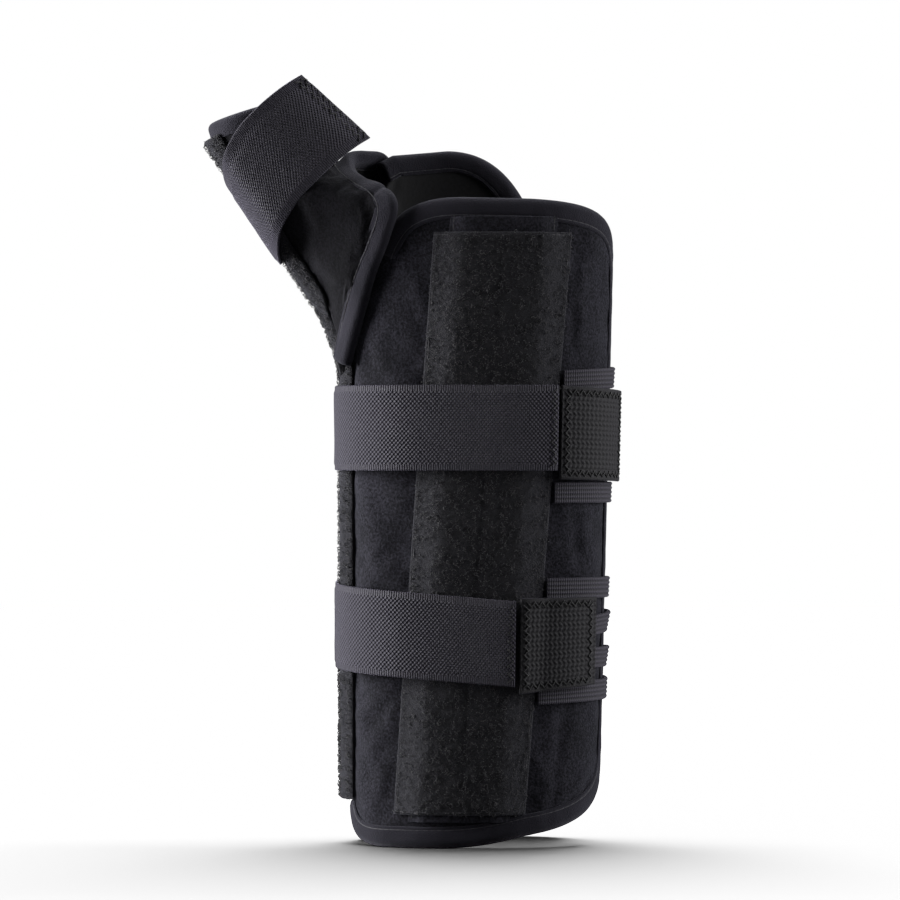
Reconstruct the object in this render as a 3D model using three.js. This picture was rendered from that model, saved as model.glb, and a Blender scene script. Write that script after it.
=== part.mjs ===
// Wrist and thumb splint: two padded laminate panels and a padded thumb sleeve,
// stiffened by three aluminium stays, closed by hook-and-loop straps on the radial
// side and by elastic bands with pull tabs on the ulnar side.
// Millimetres, +Z up the forearm towards the hand, +X towards the ulnar (little finger)
// side, -Y the front of the splint. The splint stands on its lower hem at Z = 0.

import * as THREE from 'three';
import { mergeVertices } from 'three/addons/utils/BufferGeometryUtils.js';

// ---------------------------------------------------------------- driving dimensions

const PANEL_HEIGHT = 241;

// The forearm sleeve is an oval tube that widens a little towards the hand.
const LOWER_HALF_WIDTH = 41.5;
const UPPER_HALF_WIDTH = 45;
const LOWER_HALF_DEPTH = 30;
const UPPER_HALF_DEPTH = 25.5;
const LOWER_CENTRE_X = -0.6;
const UPPER_CENTRE_X = 2.1;
const OVAL_POWER = 2.4;

// Material thicknesses, outwards from the inner face of the laminate.
const GAP = 0.4;
const LAMINATE = 4.2;
const STAY = 1.6;
const THUMB_STAY = 1.2;
const POCKET_CLOTH = 0.8;
const LOOP_PILE = 1.5;
const WEBBING = 1.6;
const HOOK = 0.8;
const ELASTIC = 1.2;
const TAB_WEBBING = 1.8;
const BINDING_PROUD = 1;

const BINDING_WIDTH = 8;
const STRAP_WIDTH = 31.6;
const ELASTIC_WIDTH = 7.8;
const STAY_WIDTH = 19;
const POCKET_WIDTH = 37;
const PATCH_WIDTH = 47.5;
const ULNAR_OPENING = 16;
const RADIAL_STRIP_WIDTH = 20;
const THUMB_STAY_WIDTH = 9;

// Stacked layers, as distances out from the laminate's inner face.
const STAY_LAYER = LAMINATE + GAP;
const POCKET_LAYER = STAY_LAYER + STAY + GAP;
const PATCH_LAYER = POCKET_LAYER + POCKET_CLOTH + GAP;
const STRAP_OVER_PATCH = PATCH_LAYER + LOOP_PILE + GAP;
const STRIP_LAYER = POCKET_LAYER + GAP;
const STRAP_OVER_STRIP = STRIP_LAYER + LOOP_PILE + GAP;
const ELASTIC_LAYER = LAMINATE + BINDING_PROUD + GAP;
const TAB_HOOK_LAYER = ELASTIC_LAYER + ELASTIC + GAP;

// The thumb sleeve leaves the radial side and leans outwards by this angle.
const THUMB_LEAN = THREE.MathUtils.degToRad(34);
const THUMB_LENGTH = 88;
const TIP_DROP = 8;
const THUMB_BORE_HALF_WIDTH = 11.3;
const THUMB_BORE_HALF_DEPTH = 13;

// The origin lies under the middle of the whole splint's outer box.
const ORIGIN_X = -23.8;

// ---------------------------------------------------------------- materials

function cloth(color, roughness) {
  return new THREE.MeshStandardMaterial({ color, roughness, metalness: 0 });
}

const MATERIALS = {
  plush: () => cloth(0x17171c, 0.95),
  binding: () => cloth(0x1b1a20, 0.8),
  loopPile: () => cloth(0x0e0d12, 1),
  strap: () => cloth(0x3c3a43, 0.75),
  tab: () => cloth(0x16151a, 0.85),
  elastic: () => cloth(0x403d45, 0.8),
  hook: () => cloth(0x0f0f12, 0.6),
  pocket: () => cloth(0x141419, 0.95),
  aluminium: () => new THREE.MeshStandardMaterial({ color: 0xb9bcc0, roughness: 0.35, metalness: 1 }),
};

// ---------------------------------------------------------------- small helpers

const lerp = THREE.MathUtils.lerp;
const arm = new THREE.Group();

function signedVolume(geometry) {
  const position = geometry.getAttribute('position');
  const index = geometry.getIndex();
  const corners = [0, 1, 2].map(() => new THREE.Vector3());
  let volume = 0;
  for (let i = 0; i < index.count; i += 3) {
    corners.forEach((corner, k) => corner.fromBufferAttribute(position, index.getX(i + k)));
    volume += corners[0].dot(corners[1].clone().cross(corners[2])) / 6;
  }
  return volume;
}

function turnInsideOut(geometry) {
  const index = geometry.getIndex();
  for (let i = 0; i < index.count; i += 3) {
    const second = index.getX(i + 1);
    index.setX(i + 1, index.getX(i + 2));
    index.setX(i + 2, second);
  }
}

function addMesh(name, geometry, material) {
  const mesh = new THREE.Mesh(geometry, MATERIALS[material]());
  mesh.name = name;
  arm.add(mesh);
  return mesh;
}

// A box of unit size, cut into segments and bent by place(u, v, w), with u, v, w in 0..1.
function addBentBox(name, material, segments, place) {
  const geometry = new THREE.BoxGeometry(1, 1, 1, segments[0], segments[1], segments[2] ?? 1);
  const position = geometry.getAttribute('position');
  for (let i = 0; i < position.count; i += 1) {
    const point = place(position.getX(i) + 0.5, position.getY(i) + 0.5, position.getZ(i) + 0.5);
    position.setXYZ(i, point.x, point.y, point.z);
  }
  if (signedVolume(geometry) < 0) {
    turnInsideOut(geometry);
  }
  return addMesh(name, geometry, material);
}

// ---------------------------------------------------------------- forearm sleeve

function signedPower(value, power) {
  return Math.sign(value) * Math.abs(value) ** power;
}

// A point of the oval and its outward normal. Angle pi is the radial side, 1.5 pi the
// front, 2 pi the ulnar side and 2.5 pi the back.
function oval(angle, halfWidth, halfDepth) {
  const x = signedPower(Math.cos(angle), 2 / OVAL_POWER);
  const y = signedPower(Math.sin(angle), 2 / OVAL_POWER);
  const normal = new THREE.Vector2(
    signedPower(x, OVAL_POWER - 1) / halfWidth,
    signedPower(y, OVAL_POWER - 1) / halfDepth,
  );
  return { point: new THREE.Vector2(x * halfWidth, y * halfDepth), normal: normal.normalize() };
}

function sleeveSize(z) {
  const up = z / PANEL_HEIGHT;
  return {
    centre: lerp(LOWER_CENTRE_X, UPPER_CENTRE_X, up),
    halfWidth: lerp(LOWER_HALF_WIDTH, UPPER_HALF_WIDTH, up),
    halfDepth: lerp(LOWER_HALF_DEPTH, UPPER_HALF_DEPTH, up),
  };
}

// Arc length round the sleeve at half height, from the radial side round the front.
const ARC_STEPS = 720;
const arcTable = [0];
{
  const size = sleeveSize(PANEL_HEIGHT / 2);
  let last = oval(Math.PI, size.halfWidth, size.halfDepth).point;
  for (let i = 1; i <= ARC_STEPS; i += 1) {
    const next = oval(Math.PI + (2 * Math.PI * i) / ARC_STEPS, size.halfWidth, size.halfDepth).point;
    arcTable.push(arcTable[i - 1] + next.distanceTo(last));
    last = next;
  }
}
const GIRTH = arcTable[ARC_STEPS];
const HALF_GIRTH = GIRTH / 2;

function angleAtArc(arc) {
  const turns = Math.floor(arc / GIRTH);
  const rest = arc - turns * GIRTH;
  let step = 1;
  while (step < ARC_STEPS && arcTable[step] < rest) {
    step += 1;
  }
  const part = (rest - arcTable[step - 1]) / (arcTable[step] - arcTable[step - 1]);
  return Math.PI + (2 * Math.PI * (step - 1 + part)) / ARC_STEPS + turns * 2 * Math.PI;
}

// The point at an arc length round the sleeve, a height, and a distance out.
function onSleeve(arc, z, out) {
  const size = sleeveSize(z);
  const { point, normal } = oval(angleAtArc(arc), size.halfWidth, size.halfDepth);
  return new THREE.Vector3(
    size.centre + point.x + normal.x * out,
    point.y + normal.y * out,
    z,
  );
}

// Height of a hand-drawn edge at an arc length, smoothly through its points.
function heightOf(edge, arc) {
  let i = 0;
  while (i < edge.length - 2 && arc > edge[i + 1][0]) {
    i += 1;
  }
  const [start, end] = [edge[i], edge[i + 1]];
  const before = edge[Math.max(i - 1, 0)];
  const after = edge[Math.min(i + 2, edge.length - 1)];
  const span = end[0] - start[0];
  const t = THREE.MathUtils.clamp((arc - start[0]) / span, 0, 1);
  const slopeIn = ((end[1] - before[1]) / (end[0] - before[0])) * span;
  const slopeOut = ((after[1] - start[1]) / (after[0] - start[0])) * span;
  const t2 = t * t;
  const t3 = t2 * t;
  return (2 * t3 - 3 * t2 + 1) * start[1] + (t3 - 2 * t2 + t) * slopeIn
    + (3 * t2 - 2 * t3) * end[1] + (t3 - t2) * slopeOut;
}

// ---------------------------------------------------------------- panel patterns

// Flat patterns: [arc length round the sleeve, height]. The outlines include the binding.
const FRONT_SIDE = HALF_GIRTH + 2;
const BACK_SIDE = FRONT_SIDE + ULNAR_OPENING;
const FRONT_SEAM_TOP = [[0, 184], [6, 189], [16, 209], [26, 225], [36, 226]];
const BACK_SEAM_TOP = [[GIRTH - 28, 250], [GIRTH - 22, 242], [GIRTH - 12, 216], [GIRTH, 186]];

function frontOutline() {
  const path = new THREE.Path();
  path.moveTo(31, 236);
  path.bezierCurveTo(38, 240.4, 44, 241, 52, 241);
  path.lineTo(76, 240.5);
  path.bezierCurveTo(92, 239.5, FRONT_SIDE, 238, FRONT_SIDE, 208);
  path.lineTo(FRONT_SIDE, 42);
  path.bezierCurveTo(FRONT_SIDE, 22, FRONT_SIDE - 12, 9, 78, 4.8);
  path.bezierCurveTo(66, 1.6, 56, 0, 44, 0);
  path.lineTo(24, 0);
  path.bezierCurveTo(12, 0, 6, 4, 2, 13);
  return path;
}

function backOutline() {
  const path = new THREE.Path();
  path.moveTo(GIRTH - 2, 13);
  path.bezierCurveTo(GIRTH - 6, 4, GIRTH - 12, 0, GIRTH - 24, 0);
  path.lineTo(BACK_SIDE + 22, 0);
  path.bezierCurveTo(BACK_SIDE + 8, 2, BACK_SIDE, 10, BACK_SIDE, 26);
  path.lineTo(BACK_SIDE, 200);
  path.bezierCurveTo(BACK_SIDE, 216, BACK_SIDE + 8, 224, BACK_SIDE + 20, 231);
  path.bezierCurveTo(GIRTH - 74, 243, GIRTH - 66, 261, GIRTH - 46, 261);
  path.lineTo(GIRTH - 26, 259);
  return path;
}

// Points of a pattern outline moved inwards by a distance. The inside lies to the
// right of the way the outline runs.
function insetPoints(path, distance, count) {
  const points = path.getSpacedPoints(count);
  return points.map((point, i) => {
    const ahead = points[Math.min(i + 1, count)];
    const behind = points[Math.max(i - 1, 0)];
    const along = ahead.clone().sub(behind).normalize();
    return point.clone().add(new THREE.Vector2(along.y, -along.x).multiplyScalar(distance));
  });
}

// Highest and lowest height of an inset outline at an arc length. Past the outline's
// radial end the panel stops a little above the binding's last corner.
const CORNER_CLEARANCE = 2;

function spanAt(points, arc) {
  let top = -Infinity;
  let bottom = Infinity;
  for (let i = 1; i < points.length; i += 1) {
    const [a, b] = [points[i - 1], points[i]];
    if (Math.min(a.x, b.x) <= arc && Math.max(a.x, b.x) >= arc) {
      const part = a.x === b.x ? 0 : (arc - a.x) / (b.x - a.x);
      const z = lerp(a.y, b.y, part);
      top = Math.max(top, z);
      bottom = Math.min(bottom, z);
    }
  }
  return { top, bottom };
}

const OUTLINE_STEPS = 120;
const BINDING_STEPS = 72;
const SEAM_GAP = 0.4;

function addBinding(name, path) {
  const outer = insetPoints(path, 0, BINDING_STEPS);
  const inner = insetPoints(path, BINDING_WIDTH, BINDING_STEPS);
  addBentBox(name, 'binding', [BINDING_STEPS, 1], (u, v, w) => {
    const i = Math.round(u * BINDING_STEPS);
    const flat = outer[i].clone().lerp(inner[i], v);
    return onSleeve(flat.x, flat.y, lerp(-BINDING_PROUD, LAMINATE + BINDING_PROUD, w));
  });
}

// Spreads grid lines closer together near both ends.
function ease(u) {
  return lerp(u, 0.5 - 0.5 * Math.cos(Math.PI * u), 0.6);
}

// A laminate panel inside its binding. Its top follows the seam edge between the arcs
// of that edge, and the outline elsewhere.
function addPanel(name, path, seam, isFront) {
  const inset = insetPoints(path, BINDING_WIDTH + GAP, OUTLINE_STEPS);
  const arcs = inset.map((point) => point.x);
  const corner = inset[isFront ? OUTLINE_STEPS : 0];
  const fromArc = isFront ? SEAM_GAP : Math.min(...arcs) + 0.05;
  const toArc = isFront ? Math.max(...arcs) - 0.05 : GIRTH - SEAM_GAP;
  const seamFrom = seam[0][0];
  const seamTo = seam[seam.length - 1][0];
  addBentBox(name, 'plush', [36, 10], (u, v, w) => {
    const arc = lerp(fromArc, toArc, ease(u));
    const span = spanAt(inset, arc);
    const pastCorner = isFront ? arc < corner.x : arc > corner.x;
    const bottom = pastCorner ? corner.y + CORNER_CLEARANCE : span.bottom;
    const top = arc >= seamFrom && arc <= seamTo ? heightOf(seam, arc) : span.top;
    return onSleeve(arc, lerp(bottom, top, v), w * LAMINATE);
  });
}

function addPanels() {
  addBinding('front_panel_binding', frontOutline());
  addBinding('back_panel_binding', backOutline());
  addPanel('front_panel', frontOutline(), FRONT_SEAM_TOP, true);
  addPanel('back_panel', backOutline(), BACK_SEAM_TOP, false);
}

// ---------------------------------------------------------------- stays, pockets, patches

const FRONT_MIDDLE = GIRTH / 4;
const BACK_MIDDLE = 6 - GIRTH / 4;
const PATCH_BOTTOM = 12.5;
const PATCH_TOP = 228;
const BACK_PATCH_TOP = 212;

// The front stay, its pocket and its loop patch lean a little from the panel's middle line.
function frontStripArc(z) {
  return FRONT_MIDDLE + lerp(-5.5, 7.5, (z - PATCH_BOTTOM) / (PATCH_TOP - PATCH_BOTTOM));
}

function backStripArc() {
  return BACK_MIDDLE;
}

// A long strip up the sleeve. Its inner face lies rise(distance from its middle line) out.
function addStrip(name, material, centreArc, width, heights, rise, thickness, steps) {
  addBentBox(name, material, steps, (u, v, w) => {
    const z = lerp(heights[0], heights[1], v);
    const across = (u - 0.5) * width;
    return onSleeve(centreArc(z) + across, z, rise(Math.abs(across)) + w * thickness);
  });
}

function smooth(value, from, to) {
  return THREE.MathUtils.smoothstep(value, from, to);
}

function pocketRise(across) {
  return lerp(STAY_LAYER, POCKET_LAYER, smooth(POCKET_WIDTH / 2 - across, 0, 6.5));
}

function patchRise(across) {
  return lerp(STAY_LAYER, PATCH_LAYER, smooth(PATCH_WIDTH / 2 - across, 0, 11));
}

function addStripSet(side, centreArc, patchTop) {
  const patch = [PATCH_BOTTOM, patchTop];
  const pocket = [12, patchTop + 3];
  const stay = [22, patchTop - 12];
  const add = (name, material, width, heights, rise, thickness, segments) => {
    addStrip(`${side}_${name}`, material, centreArc, width, heights, rise, thickness, segments);
  };
  add('stay', 'aluminium', STAY_WIDTH, stay, () => STAY_LAYER, STAY, [4, 8]);
  add('stay_pocket', 'pocket', POCKET_WIDTH, pocket, pocketRise, POCKET_CLOTH, [14, 8]);
  add('loop_patch', 'loopPile', PATCH_WIDTH, patch, patchRise, LOOP_PILE, [16, 8]);
}

// ---------------------------------------------------------------- thumb sleeve

// Thumb frame: ALONG runs up the thumb, ACROSS runs from its radial ridge to the web.
const THUMB_ROOT = new THREE.Vector3(-53, 0, 190);
const ALONG = new THREE.Vector3(-Math.sin(THUMB_LEAN), 0, Math.cos(THUMB_LEAN));
const ACROSS = new THREE.Vector3(Math.cos(THUMB_LEAN), 0, Math.sin(THUMB_LEAN));
const RIDGE = PATCH_LAYER + GAP;
const BORE_CENTRE = RIDGE + THUMB_BORE_HALF_WIDTH;
const CREST = BORE_CENTRE + THUMB_BORE_HALF_WIDTH;

function thumbPoint(along, across, y) {
  return THUMB_ROOT.clone().addScaledVector(ALONG, along).addScaledVector(ACROSS, across).setY(y);
}

// The web side of the sleeve's open tip, which stands lower than the ridge side.
function tipCrest(y) {
  return thumbPoint(THUMB_LENGTH - 2 - TIP_DROP, CREST - 1, y);
}

// Each half of the thumb sleeve is spanned by rows that run from the radial ridge to the
// free edge or the crest seam. A row has its two ends, the depth of its bulge, and how
// far round an ellipse it sweeps: a quarter where it lies open, half where it closes.
const OVER_PANEL = LAMINATE + BINDING_PROUD + 1;

function frontThumbRows() {
  const y = -SEAM_GAP;
  return [
    { ridge: thumbPoint(5, RIDGE, y), edge: onSleeve(9, 182, OVER_PANEL), bulge: 8, sweep: 90 },
    { ridge: thumbPoint(13, RIDGE, y), edge: onSleeve(13, 200, OVER_PANEL), bulge: 8, sweep: 92 },
    { ridge: thumbPoint(24, RIDGE, y), edge: onSleeve(19, 218, OVER_PANEL), bulge: 9, sweep: 96 },
    { ridge: thumbPoint(36, RIDGE, y), edge: onSleeve(25, 236, OVER_PANEL), bulge: 12, sweep: 102 },
    { ridge: thumbPoint(46, RIDGE, y), edge: thumbPoint(42, 35, -12), bulge: 16, sweep: 140 },
    { ridge: thumbPoint(54, RIDGE, y), edge: thumbPoint(51, CREST, 5 * y), bulge: 13, sweep: 180 },
    { ridge: thumbPoint(70, RIDGE, y), edge: thumbPoint(66, CREST, y), bulge: 13, sweep: 180 },
    { ridge: thumbPoint(THUMB_LENGTH, RIDGE, y), edge: tipCrest(y), bulge: 12.5, sweep: 180 },
  ];
}

function backThumbRows() {
  const y = SEAM_GAP;
  return [
    { ridge: thumbPoint(5, RIDGE, y), edge: onSleeve(-9, 184, OVER_PANEL), bulge: 8, sweep: 90 },
    { ridge: thumbPoint(13, RIDGE, y), edge: onSleeve(-14, 206, OVER_PANEL), bulge: 8, sweep: 92 },
    { ridge: thumbPoint(24, RIDGE, y), edge: onSleeve(-19, 228, OVER_PANEL), bulge: 9, sweep: 96 },
    { ridge: thumbPoint(36, RIDGE, y), edge: onSleeve(-24, 252, OVER_PANEL), bulge: 12, sweep: 102 },
    { ridge: thumbPoint(46, RIDGE, y), edge: thumbPoint(50, 39, 14), bulge: 17, sweep: 130 },
    { ridge: thumbPoint(54, RIDGE, y), edge: thumbPoint(52, CREST, 5 * y), bulge: 13, sweep: 180 },
    { ridge: thumbPoint(70, RIDGE, y), edge: thumbPoint(66, CREST, y), bulge: 13, sweep: 180 },
    { ridge: thumbPoint(THUMB_LENGTH, RIDGE, y), edge: tipCrest(y), bulge: 12.5, sweep: 180 },
  ];
}

function rowSurface(rows, side) {
  const ridge = new THREE.CatmullRomCurve3(rows.map((row) => row.ridge));
  const edge = new THREE.CatmullRomCurve3(rows.map((row) => row.edge));
  const shape = new THREE.SplineCurve(rows.map((row) => new THREE.Vector2(row.bulge, row.sweep)));
  return (v, t) => {
    const start = ridge.getPoint(t);
    const end = edge.getPoint(t);
    const form = shape.getPoint(t);
    const sweep = THREE.MathUtils.degToRad(Math.min(form.y, 180));
    const forward = (1 - Math.cos(sweep * v)) / (1 - Math.cos(sweep));
    const lift = side * form.x;
    const point = start.clone().lerp(end, forward);
    point.y = start.y + lift * Math.sin(sweep * v) + (end.y - start.y - lift * Math.sin(sweep)) * forward;
    return point;
  };
}

const TINY = 1e-3;

// The surface's point moved out by its normal, which points away from the thumb.
function offsetPoint(surface, side, v, t, out) {
  const across = surface(Math.min(v + TINY, 1), t).sub(surface(Math.max(v - TINY, 0), t));
  const up = surface(v, Math.min(t + TINY, 1)).sub(surface(v, Math.max(t - TINY, 0)));
  const normal = across.cross(up).normalize().multiplyScalar(-side);
  return surface(v, t).addScaledVector(normal, out);
}

function addThumbHalf(name, rows, side) {
  const surface = rowSurface(rows, side);
  addBentBox(name, 'plush', [16, 18], (u, v, w) => offsetPoint(surface, side, u, v, w * LAMINATE));
}

const EDGE_ROLL = 2.7;

function addRoll(name, points, steps) {
  const circle = new THREE.Shape();
  circle.absarc(0, 0, EDGE_ROLL, 0, 2 * Math.PI);
  const path = new THREE.CatmullRomCurve3(points);
  const geometry = new THREE.ExtrudeGeometry(circle, { steps, curveSegments: 4, extrudePath: path });
  addIndexed(name, geometry);
}

function addIndexed(name, geometry) {
  geometry.deleteAttribute('normal');
  geometry.deleteAttribute('uv');
  addMesh(name, mergeVertices(geometry, TINY), 'binding');
}

function addThumbOpeningBinding() {
  const front = rowSurface(frontThumbRows(), -1);
  const back = rowSurface(backThumbRows(), 1);
  const beyond = EDGE_ROLL + 1.3;
  const edgePoint = (surface, side, t) => {
    const edge = offsetPoint(surface, side, 1, t, LAMINATE / 2);
    const before = offsetPoint(surface, side, 0.97, t, LAMINATE / 2);
    return edge.clone().addScaledVector(edge.clone().sub(before).normalize(), beyond);
  };
  const rowCount = frontThumbRows().length - 1;
  const frontRows = [0.1, 0.6, 1.2, 1.8, 2.4, 3, 3.4, 3.8];
  const points = frontRows.map((row) => edgePoint(front, -1, row / rowCount));
  points.push(thumbPoint(47.5, CREST + LAMINATE + beyond, 0));
  points.push(...[4, 3.6, 3.2].map((row) => edgePoint(back, 1, row / rowCount)));
  addRoll('thumb_opening_binding', points, 44);
}

// The tube's radius as a share of the ring's.
const TIP_TUBE = 0.16;

function addThumbTipBinding() {
  const ring = new THREE.TorusGeometry(1, TIP_TUBE, 8, 32);
  const middle = LAMINATE / 2;
  const halfDrop = TIP_DROP / 2;
  const basis = new THREE.Matrix4().makeBasis(
    ACROSS.clone().multiplyScalar(THUMB_BORE_HALF_WIDTH + middle).addScaledVector(ALONG, -halfDrop),
    new THREE.Vector3(0, THUMB_BORE_HALF_DEPTH + middle, 0),
    ALONG.clone().multiplyScalar(THUMB_BORE_HALF_DEPTH + middle),
  );
  const ringTop = THUMB_LENGTH + EDGE_ROLL + GAP - TIP_TUBE * halfDrop;
  basis.setPosition(thumbPoint(ringTop - halfDrop, BORE_CENTRE, 0));
  ring.applyMatrix4(basis);
  if (signedVolume(ring) < 0) {
    turnInsideOut(ring);
  }
  addIndexed('thumb_tip_binding', ring);
}

// The thumb stay runs up the radial side and bends out along the thumb's ridge.
function radialLine(out) {
  const onRidge = (z) => onSleeve(0, z, out);
  const onSpica = (along) => thumbPoint(along, RIDGE - out, 0);
  const bend = onSleeve(0, 178, out + 0.7);
  return new THREE.CatmullRomCurve3([
    ...[34, 100, 160].map(onRidge),
    bend,
    ...[8, 24, 50, 78].map(onSpica),
  ]);
}

function addThumbStay() {
  const inner = radialLine(STAY_LAYER);
  const outer = radialLine(STAY_LAYER + THUMB_STAY);
  addBentBox('thumb_stay', 'aluminium', [1, 26], (u, v, w) => {
    const point = inner.getPoint(v).lerp(outer.getPoint(v), w);
    return point.setY((u - 0.5) * THUMB_STAY_WIDTH);
  });
}

// How far round each half of the thumb sleeve the loop strip and the strap reach.
const THUMB_STRIP_SPREAD = 0.24;

function addRadialStrips() {
  const heights = [17.5, 175.5];
  const under = () => STRIP_LAYER;
  addStrip('radial_loop_strip', 'loopPile', () => 0, RADIAL_STRIP_WIDTH, heights, under, LOOP_PILE, [8, 6]);
  const front = rowSurface(frontThumbRows(), -1);
  const back = rowSurface(backThumbRows(), 1);
  addBentBox('thumb_loop_strip', 'loopPile', [8, 10], (u, v, w) => {
    const side = u < 0.5 ? 1 : -1;
    const spread = Math.abs(u - 0.5) * 2 * THUMB_STRIP_SPREAD;
    const out = STRIP_LAYER + w * LOOP_PILE;
    return offsetPoint(side > 0 ? back : front, side, spread, lerp(0.06, 1, v), out);
  });
}

// ---------------------------------------------------------------- straps

const UPPER_STRAP_HEIGHT = 155.5;
const LOWER_STRAP_HEIGHT = 82.1;
const LOWER_STRAP_TILT = 0.088;
const STRAP_FOLD_ARC = -1;
const BACK_STRAP_END = BACK_MIDDLE - 6;
const HOOK_CLEARANCE = 0.3;
const HOOK_MARGIN = 0.8;
const HOOK_LENGTH = 40;
const SEWN_HOOK_LENGTH = 26;

function strapOut(arc) {
  const overHook = STRAP_OVER_PATCH + HOOK + HOOK_CLEARANCE;
  return lerp(STRAP_OVER_STRIP, overHook, smooth(Math.abs(arc), 8, 34));
}

function addStrapPiece(name, material, arcs, centreHeight, width, out, thickness, steps) {
  addBentBox(name, material, [steps, 1], (u, v, w) => {
    const arc = lerp(arcs[0], arcs[1], u);
    return onSleeve(arc, centreHeight(arc) + (v - 0.5) * width, out(arc) + w * thickness);
  });
}

function addForearmStrap(name, centreHeight, endArc) {
  const hookOut = () => STRAP_OVER_PATCH;
  const hookArcs = [endArc - HOOK_LENGTH, endArc - HOOK_MARGIN];
  const backHookArcs = [BACK_STRAP_END + HOOK_MARGIN, BACK_STRAP_END + SEWN_HOOK_LENGTH];
  const front = [STRAP_FOLD_ARC, endArc];
  const back = [BACK_STRAP_END, STRAP_FOLD_ARC - GAP];
  const hookWidth = STRAP_WIDTH - 2 * HOOK_MARGIN;
  addStrapPiece(name, 'strap', front, centreHeight, STRAP_WIDTH, strapOut, WEBBING, 26);
  addStrapPiece(`${name}_hook`, 'hook', hookArcs, centreHeight, hookWidth, hookOut, HOOK, 12);
  addStrapPiece(`${name}_fixed_end`, 'strap', back, centreHeight, STRAP_WIDTH, strapOut, WEBBING, 20);
  addStrapPiece(`${name}_fixed_hook`, 'hook', backHookArcs, centreHeight, hookWidth, hookOut, HOOK, 8);
}

const UPPER_STRAP_END = FRONT_MIDDLE + 25.5;
const LOWER_STRAP_END = FRONT_MIDDLE + 13;

const upperStrapHeight = () => UPPER_STRAP_HEIGHT;
const lowerStrapHeight = (arc) => LOWER_STRAP_HEIGHT - LOWER_STRAP_TILT * arc;

function addForearmStraps() {
  addForearmStrap('upper_strap', upperStrapHeight, UPPER_STRAP_END);
  addForearmStrap('lower_strap', lowerStrapHeight, LOWER_STRAP_END);
}

// The thumb strap crosses the front of the thumb sleeve obliquely and stands past its web
// side, so its cut end leans further out than the sleeve does.
const THUMB_STRAP_HALF_WIDTH = 17.5;
const THUMB_HOOK_HALF_WIDTH = 16;
const CUT_END_TURN = THREE.MathUtils.degToRad(13.6);

function thumbStrapAcross(t) {
  const lean = THUMB_LEAN + CUT_END_TURN * smooth(t, 0.1, 0.9);
  return new THREE.Vector3(-Math.sin(lean), 0, Math.cos(lean));
}

function thumbStrapPath(lift) {
  return new THREE.CatmullRomCurve3([
    thumbPoint(50, -0.6 - lift, 2.5),
    thumbPoint(51, -0.8 - lift, -2),
    thumbPoint(55, 0.5 - lift, -10.5 - lift / 2),
    thumbPoint(61, 5.3 - lift / 2, -17.2 - lift),
    thumbPoint(66, 15, -19.5 - lift),
    thumbPoint(68.5, 25, -20 - lift),
    thumbPoint(70, 35, -18 - lift),
    thumbPoint(70.5, 42, -15 - lift),
    thumbPoint(70.5, 48, -10.5 - lift),
  ]);
}

function addThumbStrapPiece(name, material, lifts, span, halfWidth, steps) {
  const inner = thumbStrapPath(lifts[0]);
  const outer = thumbStrapPath(lifts[1]);
  addBentBox(name, material, [steps, 1], (u, v, w) => {
    const t = lerp(span[0], span[1], u);
    const point = inner.getPoint(t).lerp(outer.getPoint(t), w);
    return point.addScaledVector(thumbStrapAcross(t), (v - 0.5) * 2 * halfWidth);
  });
}

// The sewn end of the thumb strap follows the back half of the sleeve.
function thumbFixedEnd(u, v, w) {
  const back = rowSurface(backThumbRows(), 1);
  const round = lerp(0.065, 0.6, u);
  const under = lerp(STRAP_OVER_STRIP, LAMINATE + 2 * GAP, smooth(round, THUMB_STRIP_SPREAD + 0.03, 0.45));
  return offsetPoint(back, 1, round, lerp(3 / 7, 6 / 7, v), under + w * WEBBING);
}

function addThumbStrap() {
  addThumbStrapPiece('thumb_strap', 'strap', [0, WEBBING], [0, 1], THUMB_STRAP_HALF_WIDTH, 24);
  const hookLifts = [-GAP - HOOK, -GAP];
  addThumbStrapPiece('thumb_strap_hook', 'hook', hookLifts, [0.62, 0.99], THUMB_HOOK_HALF_WIDTH, 8);
  addBentBox('thumb_strap_fixed_end', 'strap', [14, 6], thumbFixedEnd);
}

// ---------------------------------------------------------------- elastic closure

const PATCH_EDGE = PATCH_WIDTH / 2 + 0.8;
const BAND_END = BACK_SIDE + 15;
const ANCHOR_TAPE = 1;
const UNDER_TAB = { upper: FRONT_MIDDLE + 38, lower: FRONT_MIDDLE + 30 };

// Each band: name, arc where it starts (null: at the loop patch's edge), start and end height.
const BANDS = [
  ['upper_elastic_1', null, 173, 176],
  ['upper_elastic_2', UNDER_TAB.upper, 162, 167],
  ['upper_elastic_3', UNDER_TAB.upper, 148, 143],
  ['upper_elastic_4', null, 131.5, 131.5],
  ['lower_elastic_1', null, 96, 96],
  ['lower_elastic_2', UNDER_TAB.lower, 80.5, 85.5],
  ['lower_elastic_3', UNDER_TAB.lower, 69.5, 70],
  ['lower_elastic_4', null, 57, 59.5],
];

function addElasticBands() {
  BANDS.forEach(([name, startArc, fromHeight, toHeight]) => {
    const start = startArc ?? frontStripArc(fromHeight) + PATCH_EDGE;
    addBentBox(name, 'elastic', [16, 1], (u, v, w) => {
      const arc = lerp(start, BAND_END, u);
      const z = lerp(fromHeight, toHeight, u) + (v - 0.5) * ELASTIC_WIDTH;
      return onSleeve(arc, z, ELASTIC_LAYER + w * ELASTIC);
    });
  });
  const anchorArcs = [BACK_SIDE + 8, BACK_SIDE + 17];
  const heights = [46, 186];
  addBentBox('elastic_anchor_strip', 'tab', [4, 6], (u, v, w) => {
    const arc = lerp(anchorArcs[0], anchorArcs[1], u);
    const out = ELASTIC_LAYER + ELASTIC + GAP + w * ANCHOR_TAPE;
    return onSleeve(arc, lerp(heights[0], heights[1], v), out);
  });
}

const TAB_LENGTH = 26;

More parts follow.
